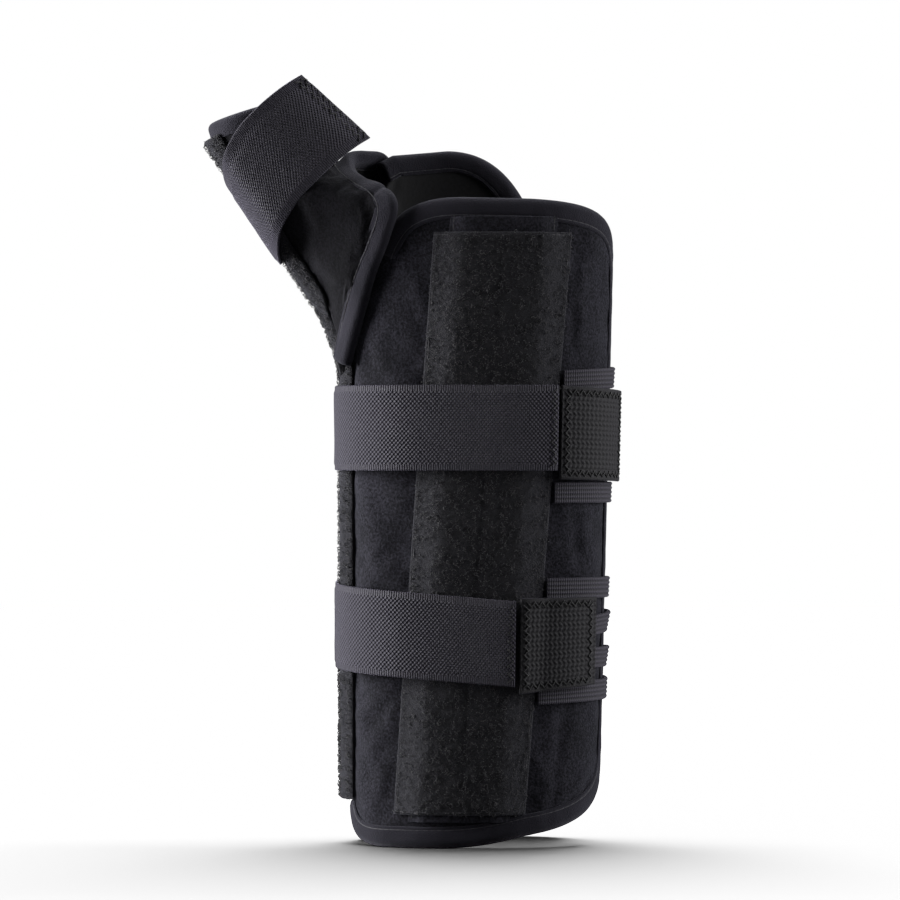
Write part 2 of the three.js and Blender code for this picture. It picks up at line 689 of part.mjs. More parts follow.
// A pull tab lies over the bands' ends and, at its inner end, over the loop patch's edge.
function tabOut(arc, z) {
  const edge = frontStripArc(z) + PATCH_WIDTH / 2;
  return lerp(STRAP_OVER_PATCH, TAB_HOOK_LAYER, smooth(arc, edge - 8, edge + 2));
}

function addPullTab(prefix, startArc, heights) {
  const place = (margin, lift, thickness) => (u, v, w) => {
    const arc = lerp(startArc + margin, startArc + TAB_LENGTH - margin, u);
    const low = lerp(heights.inner[0], heights.outer[0], u) + margin;
    const high = lerp(heights.inner[1], heights.outer[1], u) - margin;
    const z = lerp(low, high, v);
    return onSleeve(arc, z, tabOut(arc, z) + lift + w * thickness);
  };
  addBentBox(`${prefix}_pull_tab`, 'tab', [10, 2], place(0, HOOK + HOOK_CLEARANCE, TAB_WEBBING));
  addBentBox(`${prefix}_tab_hook`, 'hook', [10, 2], place(1, 0, HOOK));
}

function addPullTabs() {
  addPullTab('upper', UPPER_STRAP_END + 1.4, { inner: [136.5, 171.3], outer: [135.5, 169.5] });
  addPullTab('lower', LOWER_STRAP_END + 1.4, { inner: [57.3, 92.6], outer: [60.3, 92.9] });
}

// ---------------------------------------------------------------- assembly

addPanels();
addStripSet('front', frontStripArc, PATCH_TOP);
addStripSet('back', backStripArc, BACK_PATCH_TOP);
addThumbHalf('thumb_front_half', frontThumbRows(), -1);
addThumbHalf('thumb_back_half', backThumbRows(), 1);
addThumbOpeningBinding();
addThumbTipBinding();
addThumbStay();
addRadialStrips();
addForearmStraps();
addThumbStrap();
addElasticBands();
addPullTabs();

const part = new THREE.Group();
arm.position.set(-ORIGIN_X, 0, 0);
part.add(arm);

export default part;
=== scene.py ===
# Visual model of a wrist and thumb splint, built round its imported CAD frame.
# Shapes are worked out in millimetres in the sleeve's frame: +Z up the forearm, +X to the
# ulnar (little finger) side, -Y to the front. Meshes are written in metres, in the row frame.

import math

import bpy
import numpy as np
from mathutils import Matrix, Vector


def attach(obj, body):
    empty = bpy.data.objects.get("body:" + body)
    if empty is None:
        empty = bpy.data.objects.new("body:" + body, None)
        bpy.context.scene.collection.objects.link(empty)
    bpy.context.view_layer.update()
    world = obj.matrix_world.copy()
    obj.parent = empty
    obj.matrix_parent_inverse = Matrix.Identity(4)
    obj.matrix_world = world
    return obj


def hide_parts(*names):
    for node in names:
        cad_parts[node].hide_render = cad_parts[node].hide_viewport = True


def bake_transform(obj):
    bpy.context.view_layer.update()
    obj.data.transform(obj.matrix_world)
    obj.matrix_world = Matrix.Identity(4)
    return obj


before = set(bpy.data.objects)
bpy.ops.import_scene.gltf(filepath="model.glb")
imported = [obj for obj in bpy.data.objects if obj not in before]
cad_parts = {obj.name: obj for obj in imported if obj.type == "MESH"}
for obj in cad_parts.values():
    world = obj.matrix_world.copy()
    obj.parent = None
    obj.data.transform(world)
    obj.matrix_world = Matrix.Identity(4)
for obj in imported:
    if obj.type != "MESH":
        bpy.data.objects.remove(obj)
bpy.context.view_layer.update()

MM = 0.001
TAU = 2 * math.pi
SLEEVE_X = 23.8  # the sleeve's axis, from the row's origin

# ------------------------------------------------------------------ driving dimensions

PANEL_HEIGHT = 241
LOWER_HALF = (41.5, 30)
UPPER_HALF = (45, 25.5)
LOWER_CENTRE, UPPER_CENTRE = -0.6, 2.1
OVAL_POWER = 2.4

GAP = 0.4
LAMINATE = 4.2
STAY = 1.6
POCKET_CLOTH = 0.8
LOOP_PILE = 1.5
WEBBING = 1.6
HOOK = 0.8
ELASTIC = 1.2
TAB_WEBBING = 1.8
BINDING_PROUD = 1
BINDING_WIDTH = 8
STRAP_WIDTH = 31.6
ELASTIC_WIDTH = 7.8
POCKET_WIDTH = 37
PATCH_WIDTH = 47.5
ULNAR_OPENING = 16

STAY_LAYER = LAMINATE + GAP
POCKET_LAYER = STAY_LAYER + STAY + GAP
PATCH_LAYER = POCKET_LAYER + POCKET_CLOTH + GAP
STRAP_OVER_PATCH = PATCH_LAYER + LOOP_PILE + GAP
STRIP_LAYER = POCKET_LAYER + GAP
STRAP_OVER_STRIP = STRIP_LAYER + LOOP_PILE + GAP
ELASTIC_LAYER = LAMINATE + BINDING_PROUD + GAP
TAB_HOOK_LAYER = ELASTIC_LAYER + ELASTIC + GAP

THUMB_LEAN = math.radians(34)
THUMB_LENGTH = 88
TIP_DROP = 8
BORE_HALF_WIDTH, BORE_HALF_DEPTH = 11.3, 13
THUMB_ROOT = np.array([-53.0, 0.0, 190.0])
ALONG = np.array([-math.sin(THUMB_LEAN), 0, math.cos(THUMB_LEAN)])
ACROSS = np.array([math.cos(THUMB_LEAN), 0, math.sin(THUMB_LEAN)])
RIDGE = PATCH_LAYER + GAP
BORE_CENTRE = RIDGE + BORE_HALF_WIDTH
CREST = BORE_CENTRE + BORE_HALF_WIDTH
OVER_PANEL = LAMINATE + BINDING_PROUD + 1
EDGE_ROLL = 2.7


# ------------------------------------------------------------------ small helpers

def lerp(a, b, t):
    return a + (b - a) * t


def smooth(value, low, high):
    t = np.clip((value - low) / (high - low), 0, 1)
    return t * t * (3 - 2 * t)


def value_noise(x, y, seed=0):
    """Smooth noise from -1 to 1 on a lattice of unit cells, the same each run."""
    x, y = np.broadcast_arrays(np.asarray(x, float), np.asarray(y, float))
    column, row = np.floor(x).astype(np.int64), np.floor(y).astype(np.int64)
    fx, fy = x - column, y - row
    sx, sy = fx * fx * (3 - 2 * fx), fy * fy * (3 - 2 * fy)

    def corner(i, j):
        n = (column + i) * 73856093 ^ (row + j) * 19349663 ^ (seed + 11) * 83492791
        n = (n ^ (n >> 13)) * 1274126177 & 0x7FFFFFFF
        return ((n >> 7) & 0xFFFF) / 0x7FFF - 1

    low = lerp(corner(0, 0), corner(1, 0), sx)
    high = lerp(corner(0, 1), corner(1, 1), sx)
    return lerp(low, high, sy)


def unit(vectors):
    return vectors / np.maximum(np.linalg.norm(vectors, axis=-1, keepdims=True), 1e-9)


class Spline:
    """A centripetal Catmull-Rom curve through points, as t goes from 0 to 1."""

    def __init__(self, points, power=0.5):
        p = np.asarray(points, float)
        self.points = np.vstack([2 * p[0] - p[1], p, 2 * p[-1] - p[-2]])
        self.steps = np.linalg.norm(np.diff(self.points, axis=0), axis=1) ** power
        self.spans = len(p) - 1

    def __call__(self, t):
        t = np.clip(np.asarray(t, float), 0, 1) * self.spans
        i = np.minimum(t.astype(int), self.spans - 1)
        w = (t - i)[..., None]
        p0, p1, p2, p3 = (self.points[i + k] for k in range(4))
        d0, d1, d2 = (self.steps[i + k][..., None] for k in range(3))
        m1 = ((p1 - p0) / d0 - (p2 - p0) / (d0 + d1) + (p2 - p1) / d1) * d1
        m2 = ((p2 - p1) / d1 - (p3 - p1) / (d1 + d2) + (p3 - p2) / d2) * d1
        return (p1 + m1 * w + (3 * (p2 - p1) - 2 * m1 - m2) * w ** 2
                + (2 * (p1 - p2) + m1 + m2) * w ** 3)


# ------------------------------------------------------------------ forearm sleeve

def signed_power(value, power):
    return np.sign(value) * np.abs(value) ** power


def oval(angle, half_width, half_depth):
    x = signed_power(np.cos(angle), 2 / OVAL_POWER)
    y = signed_power(np.sin(angle), 2 / OVAL_POWER)
    nx = signed_power(x, OVAL_POWER - 1) / half_width
    ny = signed_power(y, OVAL_POWER - 1) / half_depth
    length = np.hypot(nx, ny)
    return x * half_width, y * half_depth, nx / length, ny / length


ANGLES = np.linspace(math.pi, 3 * math.pi, 721)
MIDWAY = oval(ANGLES, (LOWER_HALF[0] + UPPER_HALF[0]) / 2, (LOWER_HALF[1] + UPPER_HALF[1]) / 2)
ARCS = np.concatenate([[0], np.cumsum(np.hypot(np.diff(MIDWAY[0]), np.diff(MIDWAY[1])))])
GIRTH = ARCS[-1]
HALF_GIRTH = GIRTH / 2


def on_sleeve(arc, z, out):
    """The point at an arc length round the sleeve from its radial side, a height and a distance out."""
    arc, z, out = np.broadcast_arrays(*(np.asarray(a, float) for a in (arc, z, out)))
    turns = np.floor(arc / GIRTH)
    angle = np.interp(arc - turns * GIRTH, ARCS, ANGLES) + turns * TAU
    up = z / PANEL_HEIGHT
    x, y, nx, ny = oval(angle, lerp(LOWER_HALF[0], UPPER_HALF[0], up), lerp(LOWER_HALF[1], UPPER_HALF[1], up))
    return np.stack([lerp(LOWER_CENTRE, UPPER_CENTRE, up) + x + nx * out, y + ny * out, z], axis=-1)


FRONT_SIDE = HALF_GIRTH + 2
BACK_SIDE = FRONT_SIDE + ULNAR_OPENING
FRONT_MIDDLE = GIRTH / 4
BACK_MIDDLE = 6 - GIRTH / 4


def bezier(a, b, c, d):
    t = np.linspace(0, 1, 41)[1:, None]
    a, b, c, d = (np.asarray(p, float) for p in (a, b, c, d))
    return (1 - t) ** 3 * a + 3 * (1 - t) ** 2 * t * b + 3 * (1 - t) * t ** 2 * c + t ** 3 * d


def outline(start, pieces):
    """A pattern outline from a start point and pieces: one point for a line, three for a curve."""
    points = [np.array([start], float)]
    for piece in pieces:
        last = points[-1][-1]
        points.append(bezier(last, *piece) if len(piece) == 3 else np.array(piece, float))
    return np.vstack(points)


def spaced(points, count):
    walk = np.concatenate([[0], np.cumsum(np.linalg.norm(np.diff(points, axis=0), axis=1))])
    at = np.linspace(0, walk[-1], count + 1)
    return np.stack([np.interp(at, walk, points[:, k]) for k in range(points.shape[1])], axis=-1)


def inset(points, distance):
    """The outline's points moved inwards; the inside lies to the right of its way."""
    along = unit(np.gradient(points, axis=0))
    return points + np.stack([along[:, 1], -along[:, 0]], axis=-1) * distance


FRONT_OUTLINE = outline((21, 221), [
    [(24, 229), (27, 233), (31, 236)],
    [(38, 240.4), (44, 241), (52, 241)],
    [(76, 240.5)],
    [(92, 239.5), (FRONT_SIDE, 238), (FRONT_SIDE, 208)],
    [(FRONT_SIDE, 42)],
    [(FRONT_SIDE, 22), (FRONT_SIDE - 12, 9), (78, 4.8)],
    [(66, 1.6), (56, 0), (44, 0)],
    [(24, 0)],
    [(12, 0), (6, 4), (2, 13)],
])
BACK_OUTLINE = outline((GIRTH - 2, 13), [
    [(GIRTH - 6, 4), (GIRTH - 12, 0), (GIRTH - 24, 0)],
    [(BACK_SIDE + 22, 0)],
    [(BACK_SIDE + 8, 2), (BACK_SIDE, 10), (BACK_SIDE, 26)],
    [(BACK_SIDE, 200)],
    [(BACK_SIDE, 216), (BACK_SIDE + 8, 224), (BACK_SIDE + 20, 231)],
    [(GIRTH - 74, 243), (GIRTH - 66, 261), (GIRTH - 46, 261)],
    [(GIRTH - 26, 259)],
    [(GIRTH - 20, 256)],
])
FRONT_SEAM = [(0, 184), (6, 189), (14, 206), (21, 217), (28, 227), (36, 232.3)]
BACK_SEAM = [(GIRTH - 28, 254), (GIRTH - 22, 248), (GIRTH - 12, 216), (GIRTH, 186)]


# ------------------------------------------------------------------ meshes

def add_object(name, vertices, faces, material, cloth=None):
    """A mesh object from points in millimetres of the sleeve's frame, facing outwards."""
    points = (np.asarray(vertices, float).reshape(-1, 3) + [SLEEVE_X, 0, 0]) * MM
    mesh = bpy.data.meshes.new(name)
    mesh.from_pydata(points.tolist(), [], [list(map(int, face)) for face in faces])
    if cloth is not None:
        pattern = mesh.attributes.new("cloth", "FLOAT_VECTOR", "POINT")
        pattern.data.foreach_set("vector", np.asarray(cloth, np.float32).reshape(-1))
    mesh.polygons.foreach_set("use_smooth", np.ones(len(mesh.polygons), bool))
    mesh.materials.append(material)
    mesh.update()
    return bpy.data.objects.new(name, mesh)


def show(obj, body, replaces=(), blend=None):
    bpy.context.scene.collection.objects.link(obj)
    if blend:
        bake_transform(obj)
    else:
        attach(obj, body)
    if replaces:
        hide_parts(*replaces)
    return obj


def loft(name, outer, inner, material, closed=False, cloth=None):
    """A closed skin over rows of points: an outer sheet and an inner sheet, joined at their rims.

    Both have the shape (rows, columns, 3). A closed loft joins its last row to its first."""
    rows, columns = outer.shape[:2]
    rings = np.concatenate([outer, inner[:, ::-1]], axis=1)
    width = 2 * columns
    row = np.arange(rows if closed else rows - 1)[:, None]
    after = (row + 1) % rows
    j = np.arange(width)[None, :]
    k = (j + 1) % width
    quads = np.stack([row * width + j, row * width + k, after * width + k, after * width + j], axis=-1)
    faces = quads.reshape(-1, 4).tolist()
    if not closed:
        c = np.arange(columns - 1)
        first = np.stack([c + 1, c, width - 1 - c, width - 2 - c], axis=-1)
        last = (rows - 1) * width + first[:, ::-1]
        faces += first.tolist() + last.tolist()
    vertices = rings.reshape(-1, 3)
    if signed_volume(vertices, faces) < 0:
        faces = [face[::-1] for face in faces]
    if cloth is not None:
        cloth = np.concatenate([cloth, cloth[:, ::-1]], axis=1).reshape(-1, 3)
    return add_object(name, vertices, faces, material, cloth)


def signed_volume(vertices, faces):
    f = np.asarray(faces)
    a, b, c, d = (vertices[f[:, k]] for k in range(4))
    return (np.einsum("ij,ij->", a, np.cross(b, c)) + np.einsum("ij,ij->", a, np.cross(c, d))) / 6


def stations(length, cell, edge):
    """Places along a length, crowded within a rounded edge at both ends."""
    turn = edge * (1 - np.cos(np.linspace(0, math.pi / 2, 5)))[:-1]
    middle = np.linspace(edge, length - edge, max(3, round((length - 2 * edge) / cell) + 1))
    return np.concatenate([turn, middle, length - turn[::-1]])


def edge_round(at, length, edge):
    near = np.clip(np.minimum(at, length - at) / edge, 0, 1)
    return np.sqrt(np.maximum(1 - (1 - near) ** 2, 0.01))


def sheet_piece(name, place, size, cell, low, high, material, edge=0.5, surface=None):
    """A rounded flat piece. place(s, t, out) gives points for millimetres along and across it.

    low(s, t) and high(s, t) are its two faces' distances out; surface(s, t) adds relief."""
    s = stations(size[0], cell[0], edge)[:, None]
    t = stations(size[1], cell[1], edge)[None, :]
    fade = edge_round(s, size[0], edge) * edge_round(t, size[1], edge)
    bottom, top = low(s, t), high(s, t)
    middle, half = (bottom + top) / 2, (top - bottom) / 2
    relief = surface(s, t) if surface else 0
    outer = place(s, t, middle + half * fade + relief * fade)
    inner = place(s, t, middle - half * fade)
    s, t = np.broadcast_arrays(s, t - size[1] / 2)
    cloth = np.stack([s, t, np.zeros_like(s)], axis=-1)
    return loft(name, outer, inner, material, cloth=cloth)


def scatter(name, template, centres, bases, material):
    """One mesh of many copies of a closed template, its axes turned to each row of bases."""
    shape, faces = template
    points = np.einsum("nk,cki->cni", shape, bases) + centres[:, None, :]
    step = np.arange(len(centres))[:, None, None] * len(shape)
    copies = [(np.asarray(group)[None] + step).reshape(-1, len(group[0])) for group in faces]
    return add_object(name, points, [face for group in copies for face in group.tolist()], material)


def tube_template(path, radii, sides):
    """A closed tube of unit length scale along a path in its own x-z plane."""
    path, radii = np.asarray(path, float), np.asarray(radii, float)
    along = unit(np.gradient(path, axis=0))
    flat = np.stack([-along[:, 2], np.zeros(len(path)), along[:, 0]], axis=-1)
    turn = np.arange(sides) * TAU / sides
    ring = (flat[:, None] * np.cos(turn)[None, :, None]
            + np.array([0, 1, 0]) * np.sin(turn)[None, :, None]) * radii[:, None, None]
    shape = (path[:, None] + ring).reshape(-1, 3)
    rings = len(path)
    neighbours = [(k, (k + 1) % sides) for k in range(sides)]
    quads = [[r * sides + k, (r + 1) * sides + k, (r + 1) * sides + after, r * sides + after]
             for r in range(rings - 1) for k, after in neighbours]
    caps = [list(range(sides)), [(rings - 1) * sides + k for k in reversed(range(sides))]]
    return shape, [quads, caps]


def normal_frames(along, normals):
    """Bases whose x runs along a direction and z along a normal."""
    along = unit(along)
    side = unit(np.cross(normals, along))
    return np.stack([along, side, np.cross(along, side)], axis=1)


# ------------------------------------------------------------------ materials

def shader(name, color, roughness, specular=0.3, sheen=0.0, sheen_roughness=0.5, tint=(1, 1, 1),
           metallic=0.0):
    material = bpy.data.materials.new(name)
    material.use_nodes = True
    bsdf = material.node_tree.nodes["Principled BSDF"]
    bsdf.inputs["Base Color"].default_value = (*color, 1)
    bsdf.inputs["Roughness"].default_value = roughness
    bsdf.inputs["Metallic"].default_value = metallic
    bsdf.inputs["Specular IOR Level"].default_value = specular
    bsdf.inputs["Sheen Weight"].default_value = sheen
    bsdf.inputs["Sheen Roughness"].default_value = sheen_roughness
    bsdf.inputs["Sheen Tint"].default_value = (*tint, 1)
    return material


def add_node(material, kind, inputs=None, **settings):
    """A shader node; inputs maps its sockets to numbers or to other nodes' outputs."""
    node = material.node_tree.nodes.new("ShaderNode" + kind)
    for key, value in settings.items():
        setattr(node, key, value)
    for key, value in (inputs or {}).items():
        if isinstance(value, bpy.types.NodeSocket):
            material.node_tree.links.new(value, node.inputs[key])
        else:
            node.inputs[key].default_value = value
    return node


def maths(material, operation, *values):
    node = add_node(material, "Math", dict(enumerate(values)), operation=operation)
    return node.outputs[0]


def wave(material, along, pitch):
    """A sine wave that repeats every pitch millimetres."""
    return maths(material, "SINE", maths(material, "MULTIPLY", along, TAU / pitch))


def object_noise(material, scale, detail=2.0, roughness=0.5, distortion=0.0):
    where = add_node(material, "TexCoord").outputs["Object"]
    noise = add_node(material, "TexNoise", {
        "Vector": where, "Scale": scale, "Detail": detail, "Roughness": roughness, "Distortion": distortion,
    })
    return noise.outputs["Fac"]


def cloth_axes(material):
    pattern = add_node(material, "Attribute", attribute_name="cloth").outputs["Vector"]
    split = add_node(material, "SeparateXYZ", {0: pattern})
    return split.outputs[0], split.outputs[1]


def color_between(material, amount, dark, light, low=0.0, high=1.0):
    ramp = add_node(material, "ValToRGB", {"Fac": amount})
    ramp.color_ramp.elements[0].position = low
    ramp.color_ramp.elements[0].color = (*dark, 1)
    ramp.color_ramp.elements[1].position = high
    ramp.color_ramp.elements[1].color = (*light, 1)
    return ramp.outputs["Color"]


def finish_material(material, color=None, height=None, strength=0.5, distance=0.0003, roughness=None):
    bsdf = material.node_tree.nodes["Principled BSDF"]
    if color is not None:
        material.node_tree.links.new(color, bsdf.inputs["Base Color"])
    if roughness is not None:
        material.node_tree.links.new(roughness, bsdf.inputs["Roughness"])
    if height is not None:
        bump = add_node(material, "Bump", {"Strength": strength, "Distance": distance, "Height": height})
        material.node_tree.links.new(bump.outputs[0], bsdf.inputs["Normal"])
    return material


def plush_material(name, dark, light, sheen):
    """Short brushed nap: fine specks, slow shading patches, and soft sheen at grazing angles."""
    material = shader(name, dark, 0.95, 0.12, sheen, 0.4, (0.78, 0.8, 1.0))
    fine = object_noise(material, 1100, 3, 0.7)
    patches = object_noise(material, 70, 3, 0.6)
    fine_share = maths(material, "MULTIPLY", fine, 0.75)
    mixed = maths(material, "ADD", fine_share, maths(material, "MULTIPLY", patches, 0.25))
    color = color_between(material, mixed, dark, light, 0.42, 0.66)
    return finish_material(material, color, fine, 0.8, 0.0006)


def tape_material():
    """Smooth knitted edge tape with very fine ribs."""
    material = shader("binding_tape", (0.013, 0.0125, 0.017), 0.95, 0.1, 0.14, 0.45, (0.85, 0.85, 1.0))
    fine = object_noise(material, 2200, 2, 0.6)
    slow = object_noise(material, 60, 2, 0.5)
    color = color_between(material, slow, (0.010, 0.0095, 0.0135), (0.018, 0.017, 0.023), 0.3, 0.7)
    return finish_material(material, color, fine, 0.9, 0.0005)


def pile_material():
    """Napped loop tape: nearly black curls with a few bright fibres."""
    material = shader("loop_pile", (0.005, 0.005, 0.006), 0.85, 0.25, 0.12, 0.5, (0.8, 0.8, 1.0))
    curls = object_noise(material, 900, 4, 0.75, 1.6)
    fibres = object_noise(material, 1700, 2, 0.6, 2.5)
    color = color_between(material, fibres, (0.0018, 0.0016, 0.0025), (0.018, 0.0168, 0.0225), 0.5, 0.82)
    return finish_material(material, color, curls, 1.0, 0.0012)


def strap_material():
    """Fine rhombic weave of raised dashes between two plain ribbed selvedges."""
    material = shader("strap_webbing", (0.04, 0.036, 0.052), 0.65, 0.2, 0.42, 0.32, (0.82, 0.78, 1.0))
    s, t = cloth_axes(material)
    dashes = maths(material, "MULTIPLY", wave(material, s, 1.25), wave(material, t, 1.7))
    rib = maths(material, "MULTIPLY", wave(material, s, 0.75), 0.35)
    selvedge = maths(material, "GREATER_THAN", maths(material, "ABSOLUTE", t), STRAP_WIDTH / 2 - 2.3)
    woven = add_node(material, "Mix", {"Factor": selvedge, "A": dashes, "B": rib}).outputs["Result"]
    grain = object_noise(material, 1300, 2, 0.6)
    height = maths(material, "ADD", woven, grain)
    tone = maths(material, "MULTIPLY_ADD", height, 0.4, 0.3)
    color = color_between(material, tone, (0.0065, 0.0058, 0.0092), (0.044, 0.040, 0.058), 0.25, 0.95)
    return finish_material(material, color, height, 0.7, 0.0004)


def tab_material():
    """Coarse black webbing; its yarns are in the mesh, so only fibre grain is added."""
    material = shader("tab_webbing", (0.012, 0.011, 0.015), 0.7, 0.22, 0.1, 0.4, (0.82, 0.8, 1.0))
    across = cloth_axes(material)[1]
    fibre = object_noise(material, 2600, 2, 0.6)
    tone = maths(material, "MULTIPLY_ADD", wave(material, across, TAB_ROW), 0.08, fibre)
    color = color_between(material, tone, (0.0016, 0.0014, 0.0022), (0.0085, 0.0077, 0.0112), 0.3, 0.9)
    return finish_material(material, color, fibre, 0.6, 0.0003)


def elastic_material():
    """Ribbed elastic: lighter yarn covers on the ribs, and fine cross lines."""
    material = shader("elastic", (0.040, 0.036, 0.050), 0.7, 0.2, 0.16, 0.4, (0.84, 0.8, 1.0))
    s, t = cloth_axes(material)
    cross = wave(material, s, 0.8)
    ribs = maths(material, "SINE", maths(material, "MULTIPLY_ADD", t, TAU / ELASTIC_RIB, math.pi / 2))
    tone = maths(material, "MULTIPLY_ADD", ribs, 0.3, maths(material, "MULTIPLY_ADD", cross, 0.12, 0.5))
    color = color_between(material, tone, (0.005, 0.0045, 0.0068), (0.034, 0.031, 0.043), 0.1, 0.95)
    return finish_material(material, color, cross, 0.4, 0.0002)


def plain_cloth(name, color, scale, strength, specular=0.25, roughness=0.85):
    material = shader(name, color, roughness, specular, 0.1, 0.5)
    grain = object_noise(material, scale, 2, 0.6)
    light = tuple(c * 1.7 for c in color)
    tone = color_between(material, grain, tuple(c * 0.7 for c in color), light, 0.3, 0.7)
    return finish_material(material, tone, grain, strength, 0.0003)


def metal_material():
    """Satin aluminium strip with a fine grain along its length."""
    material = shader("aluminium_strip", (0.72, 0.73, 0.75), 0.35, 0.5, metallic=1.0)
    where = add_node(material, "TexCoord").outputs["Object"]
    stretched = add_node(material, "Mapping", {"Vector": where, "Scale": (4000, 4000, 60)}).outputs[0]
    grain = add_node(material, "TexNoise", {"Vector": stretched, "Scale": 1.0, "Detail": 2.0}).outputs["Fac"]
    rough = maths(material, "MULTIPLY_ADD", grain, 0.2, 0.25)
    return finish_material(material, height=grain, strength=0.2, distance=0.0001, roughness=rough)


TAB_ROW = 1.8
ELASTIC_RIB = 1.6

PLUSH = plush_material("plush", (0.0022, 0.0022, 0.0034), (0.023, 0.022, 0.030), 0.13)
# The thumb halves' plush: a darker copy of the panels' plush with less sheen, painted shade for the shadow
# that falls on the thumb flap.
SHADED_THUMB_PLUSH = plush_material("thumb_plush_painted_shade", (0.0010, 0.0010, 0.0016), (0.0075, 0.0070, 0.0098), 0.035)
# Black lining cloth, its colour lowered further as painted shade for the dim inside of the sleeve.
LINING_WITH_PAINTED_SHADE = plain_cloth("lining", (0.0035, 0.0035, 0.0045), 900, 0.3)
POCKET = plush_material("pocket_cloth", (0.0035, 0.0035, 0.0050), (0.024, 0.023, 0.031), 0.13)
TAPE = tape_material()
PILE = pile_material()
STRAP = strap_material()
TAB = tab_material()
BAND = elastic_material()
HOOKS = plain_cloth("hook_tape", (0.010, 0.010, 0.012), 1800, 0.4, 0.5, 0.45)
THREAD = plain_cloth("thread", (0.022, 0.021, 0.027), 3000, 0.4, 0.4, 0.6)
DARK_THREAD = plain_cloth("dark_thread", (0.006, 0.006, 0.007), 3000, 0.4, 0.4, 0.6)
FIBRE = plain_cloth("pile_fibre", (0.0085, 0.0078, 0.0108), 2500, 0.3, 0.4, 0.6)
METAL = metal_material()


# ------------------------------------------------------------------ camera, lights, floor

def build_camera():
    """A level, long-lens view of the front."""
    camera = bpy.data.objects.new("camera", bpy.data.cameras.new("camera"))
    camera.location = (0.0142, -2.03, 0.1473)
    camera.rotation_euler = (math.pi / 2, 0, 0)
    camera.data.sensor_width = 36
    camera.data.lens = 36 * 2.0 / 0.333
    camera.data.clip_end = 20
    bpy.context.scene.collection.objects.link(camera)
    bpy.context.scene.camera = camera


def build_world():
    """A white backdrop that the camera sees, and dim light from all round."""
    world = bpy.data.worlds.new("white_tent")
    world.use_nodes = True
    tree = world.node_tree
    backdrop = tree.nodes["Background"]
    backdrop.inputs["Color"].default_value = (1, 1, 1, 1)
    backdrop.inputs["Strength"].default_value = 1.0
    dim = tree.nodes.new("ShaderNodeBackground")
    dim.inputs["Color"].default_value = (0.95, 0.97, 1, 1)
    dim.inputs["Strength"].default_value = 0.05
    path = tree.nodes.new("ShaderNodeLightPath")
    mix = tree.nodes.new("ShaderNodeMixShader")
    tree.links.new(path.outputs["Is Camera Ray"], mix.inputs["Fac"])
    tree.links.new(dim.outputs[0], mix.inputs[1])
    tree.links.new(backdrop.outputs[0], mix.inputs[2])
    tree.links.new(mix.outputs[0], tree.nodes["World Output"].inputs["Surface"])
    bpy.context.scene.world = world


FLOOR_HALF = 3.0


def build_floor():
    """A pale floor that only catches shadows."""
    corners = [(x * FLOOR_HALF, y * FLOOR_HALF, 0) for x, y in ((-1, -1), (1, -1), (1, 1), (-1, 1))]
    mesh = bpy.data.meshes.new("floor")
    mesh.from_pydata(corners, [], [(0, 1, 2, 3)])
    mesh.materials.append(finish_material(shader("floor", (0.9, 0.9, 0.9), 0.9, 0.1)))
    floor = bpy.data.objects.new("floor", mesh)
    bpy.context.scene.collection.objects.link(floor)
    floor.is_shadow_catcher = True
    return floor


# Each lamp: name, place, point it faces, size, and power in watts.
SIDE_LAMPS = [
    ("left_softbox", (-1.1, 0.02, 0.3), (0, 0, 0.15), 0.8, 50),
    ("left_front_softbox", (-1.0, -0.8, 0.4), (0, 0, 0.12), 0.6, 0.4),
    ("right_softbox", (1.1, -0.05, 0.4), (0, 0, 0.15), 0.8, 18),
]
TOP_LAMP = ("top_softbox", (0, 0.6, 1.5), (0, 0, 0), 1.2, 14)


def build_lamp(name, place, aim, size, power):
    lamp = bpy.data.lights.new(name, "AREA")
    lamp.shape = "SQUARE"
    lamp.size = size
    lamp.energy = power
    softbox = bpy.data.objects.new(name, lamp)
    softbox.location = place
    softbox.rotation_euler = (Vector(aim) - Vector(place)).to_track_quat("-Z", "Y").to_euler()
    bpy.context.scene.collection.objects.link(softbox)
    return softbox


def build_stage():
    build_camera()
    build_world()
    floor = build_floor()
    # The side lamps throw no long shadows over the floor.
    unlit = bpy.data.collections.new("not_lit_from_the_sides")
    unlit.objects.link(floor)
    unlit.collection_objects[0].light_linking.link_state = "EXCLUDE"
    for lamp in SIDE_LAMPS:
        build_lamp(*lamp).light_linking.receiver_collection = unlit
    build_lamp(*TOP_LAMP)
    bpy.context.scene.view_settings.view_transform = "Standard"


build_stage()


# ------------------------------------------------------------------ padded panels

def span_at(points, arcs):
    """Lowest and highest height of an outline at each arc length."""
    a, b = points[:-1], points[1:]
    width = b[:, 0] - a[:, 0]
    part = (arcs[:, None] - a[:, 0]) / np.where(np.abs(width) < 1e-9, 1e9, width)
    left, right = np.minimum(a[:, 0], b[:, 0]), np.maximum(a[:, 0], b[:, 0])
    crosses = (left <= arcs[:, None]) & (right >= arcs[:, None])
    z = a[:, 1] + (b[:, 1] - a[:, 1]) * np.clip(part, 0, 1)
    return np.where(crosses, z, np.inf).min(axis=1), np.where(crosses, z, -np.inf).max(axis=1)


def front_strip_arc(z):
    return FRONT_MIDDLE + lerp(-5.5, 7.5, (z - PATCH_BOTTOM) / (PATCH_TOP - PATCH_BOTTOM))


def back_strip_arc(z):
    return BACK_MIDDLE + 0 * z


PATCH_BOTTOM, PATCH_TOP, BACK_PATCH_TOP = 12.5, 228, 212
SEAM_GAP = 0.06
CROTCH_GAP = 2.0
UNDER_BINDING = 6.5
STRIP_HALF_WIDTH = 10


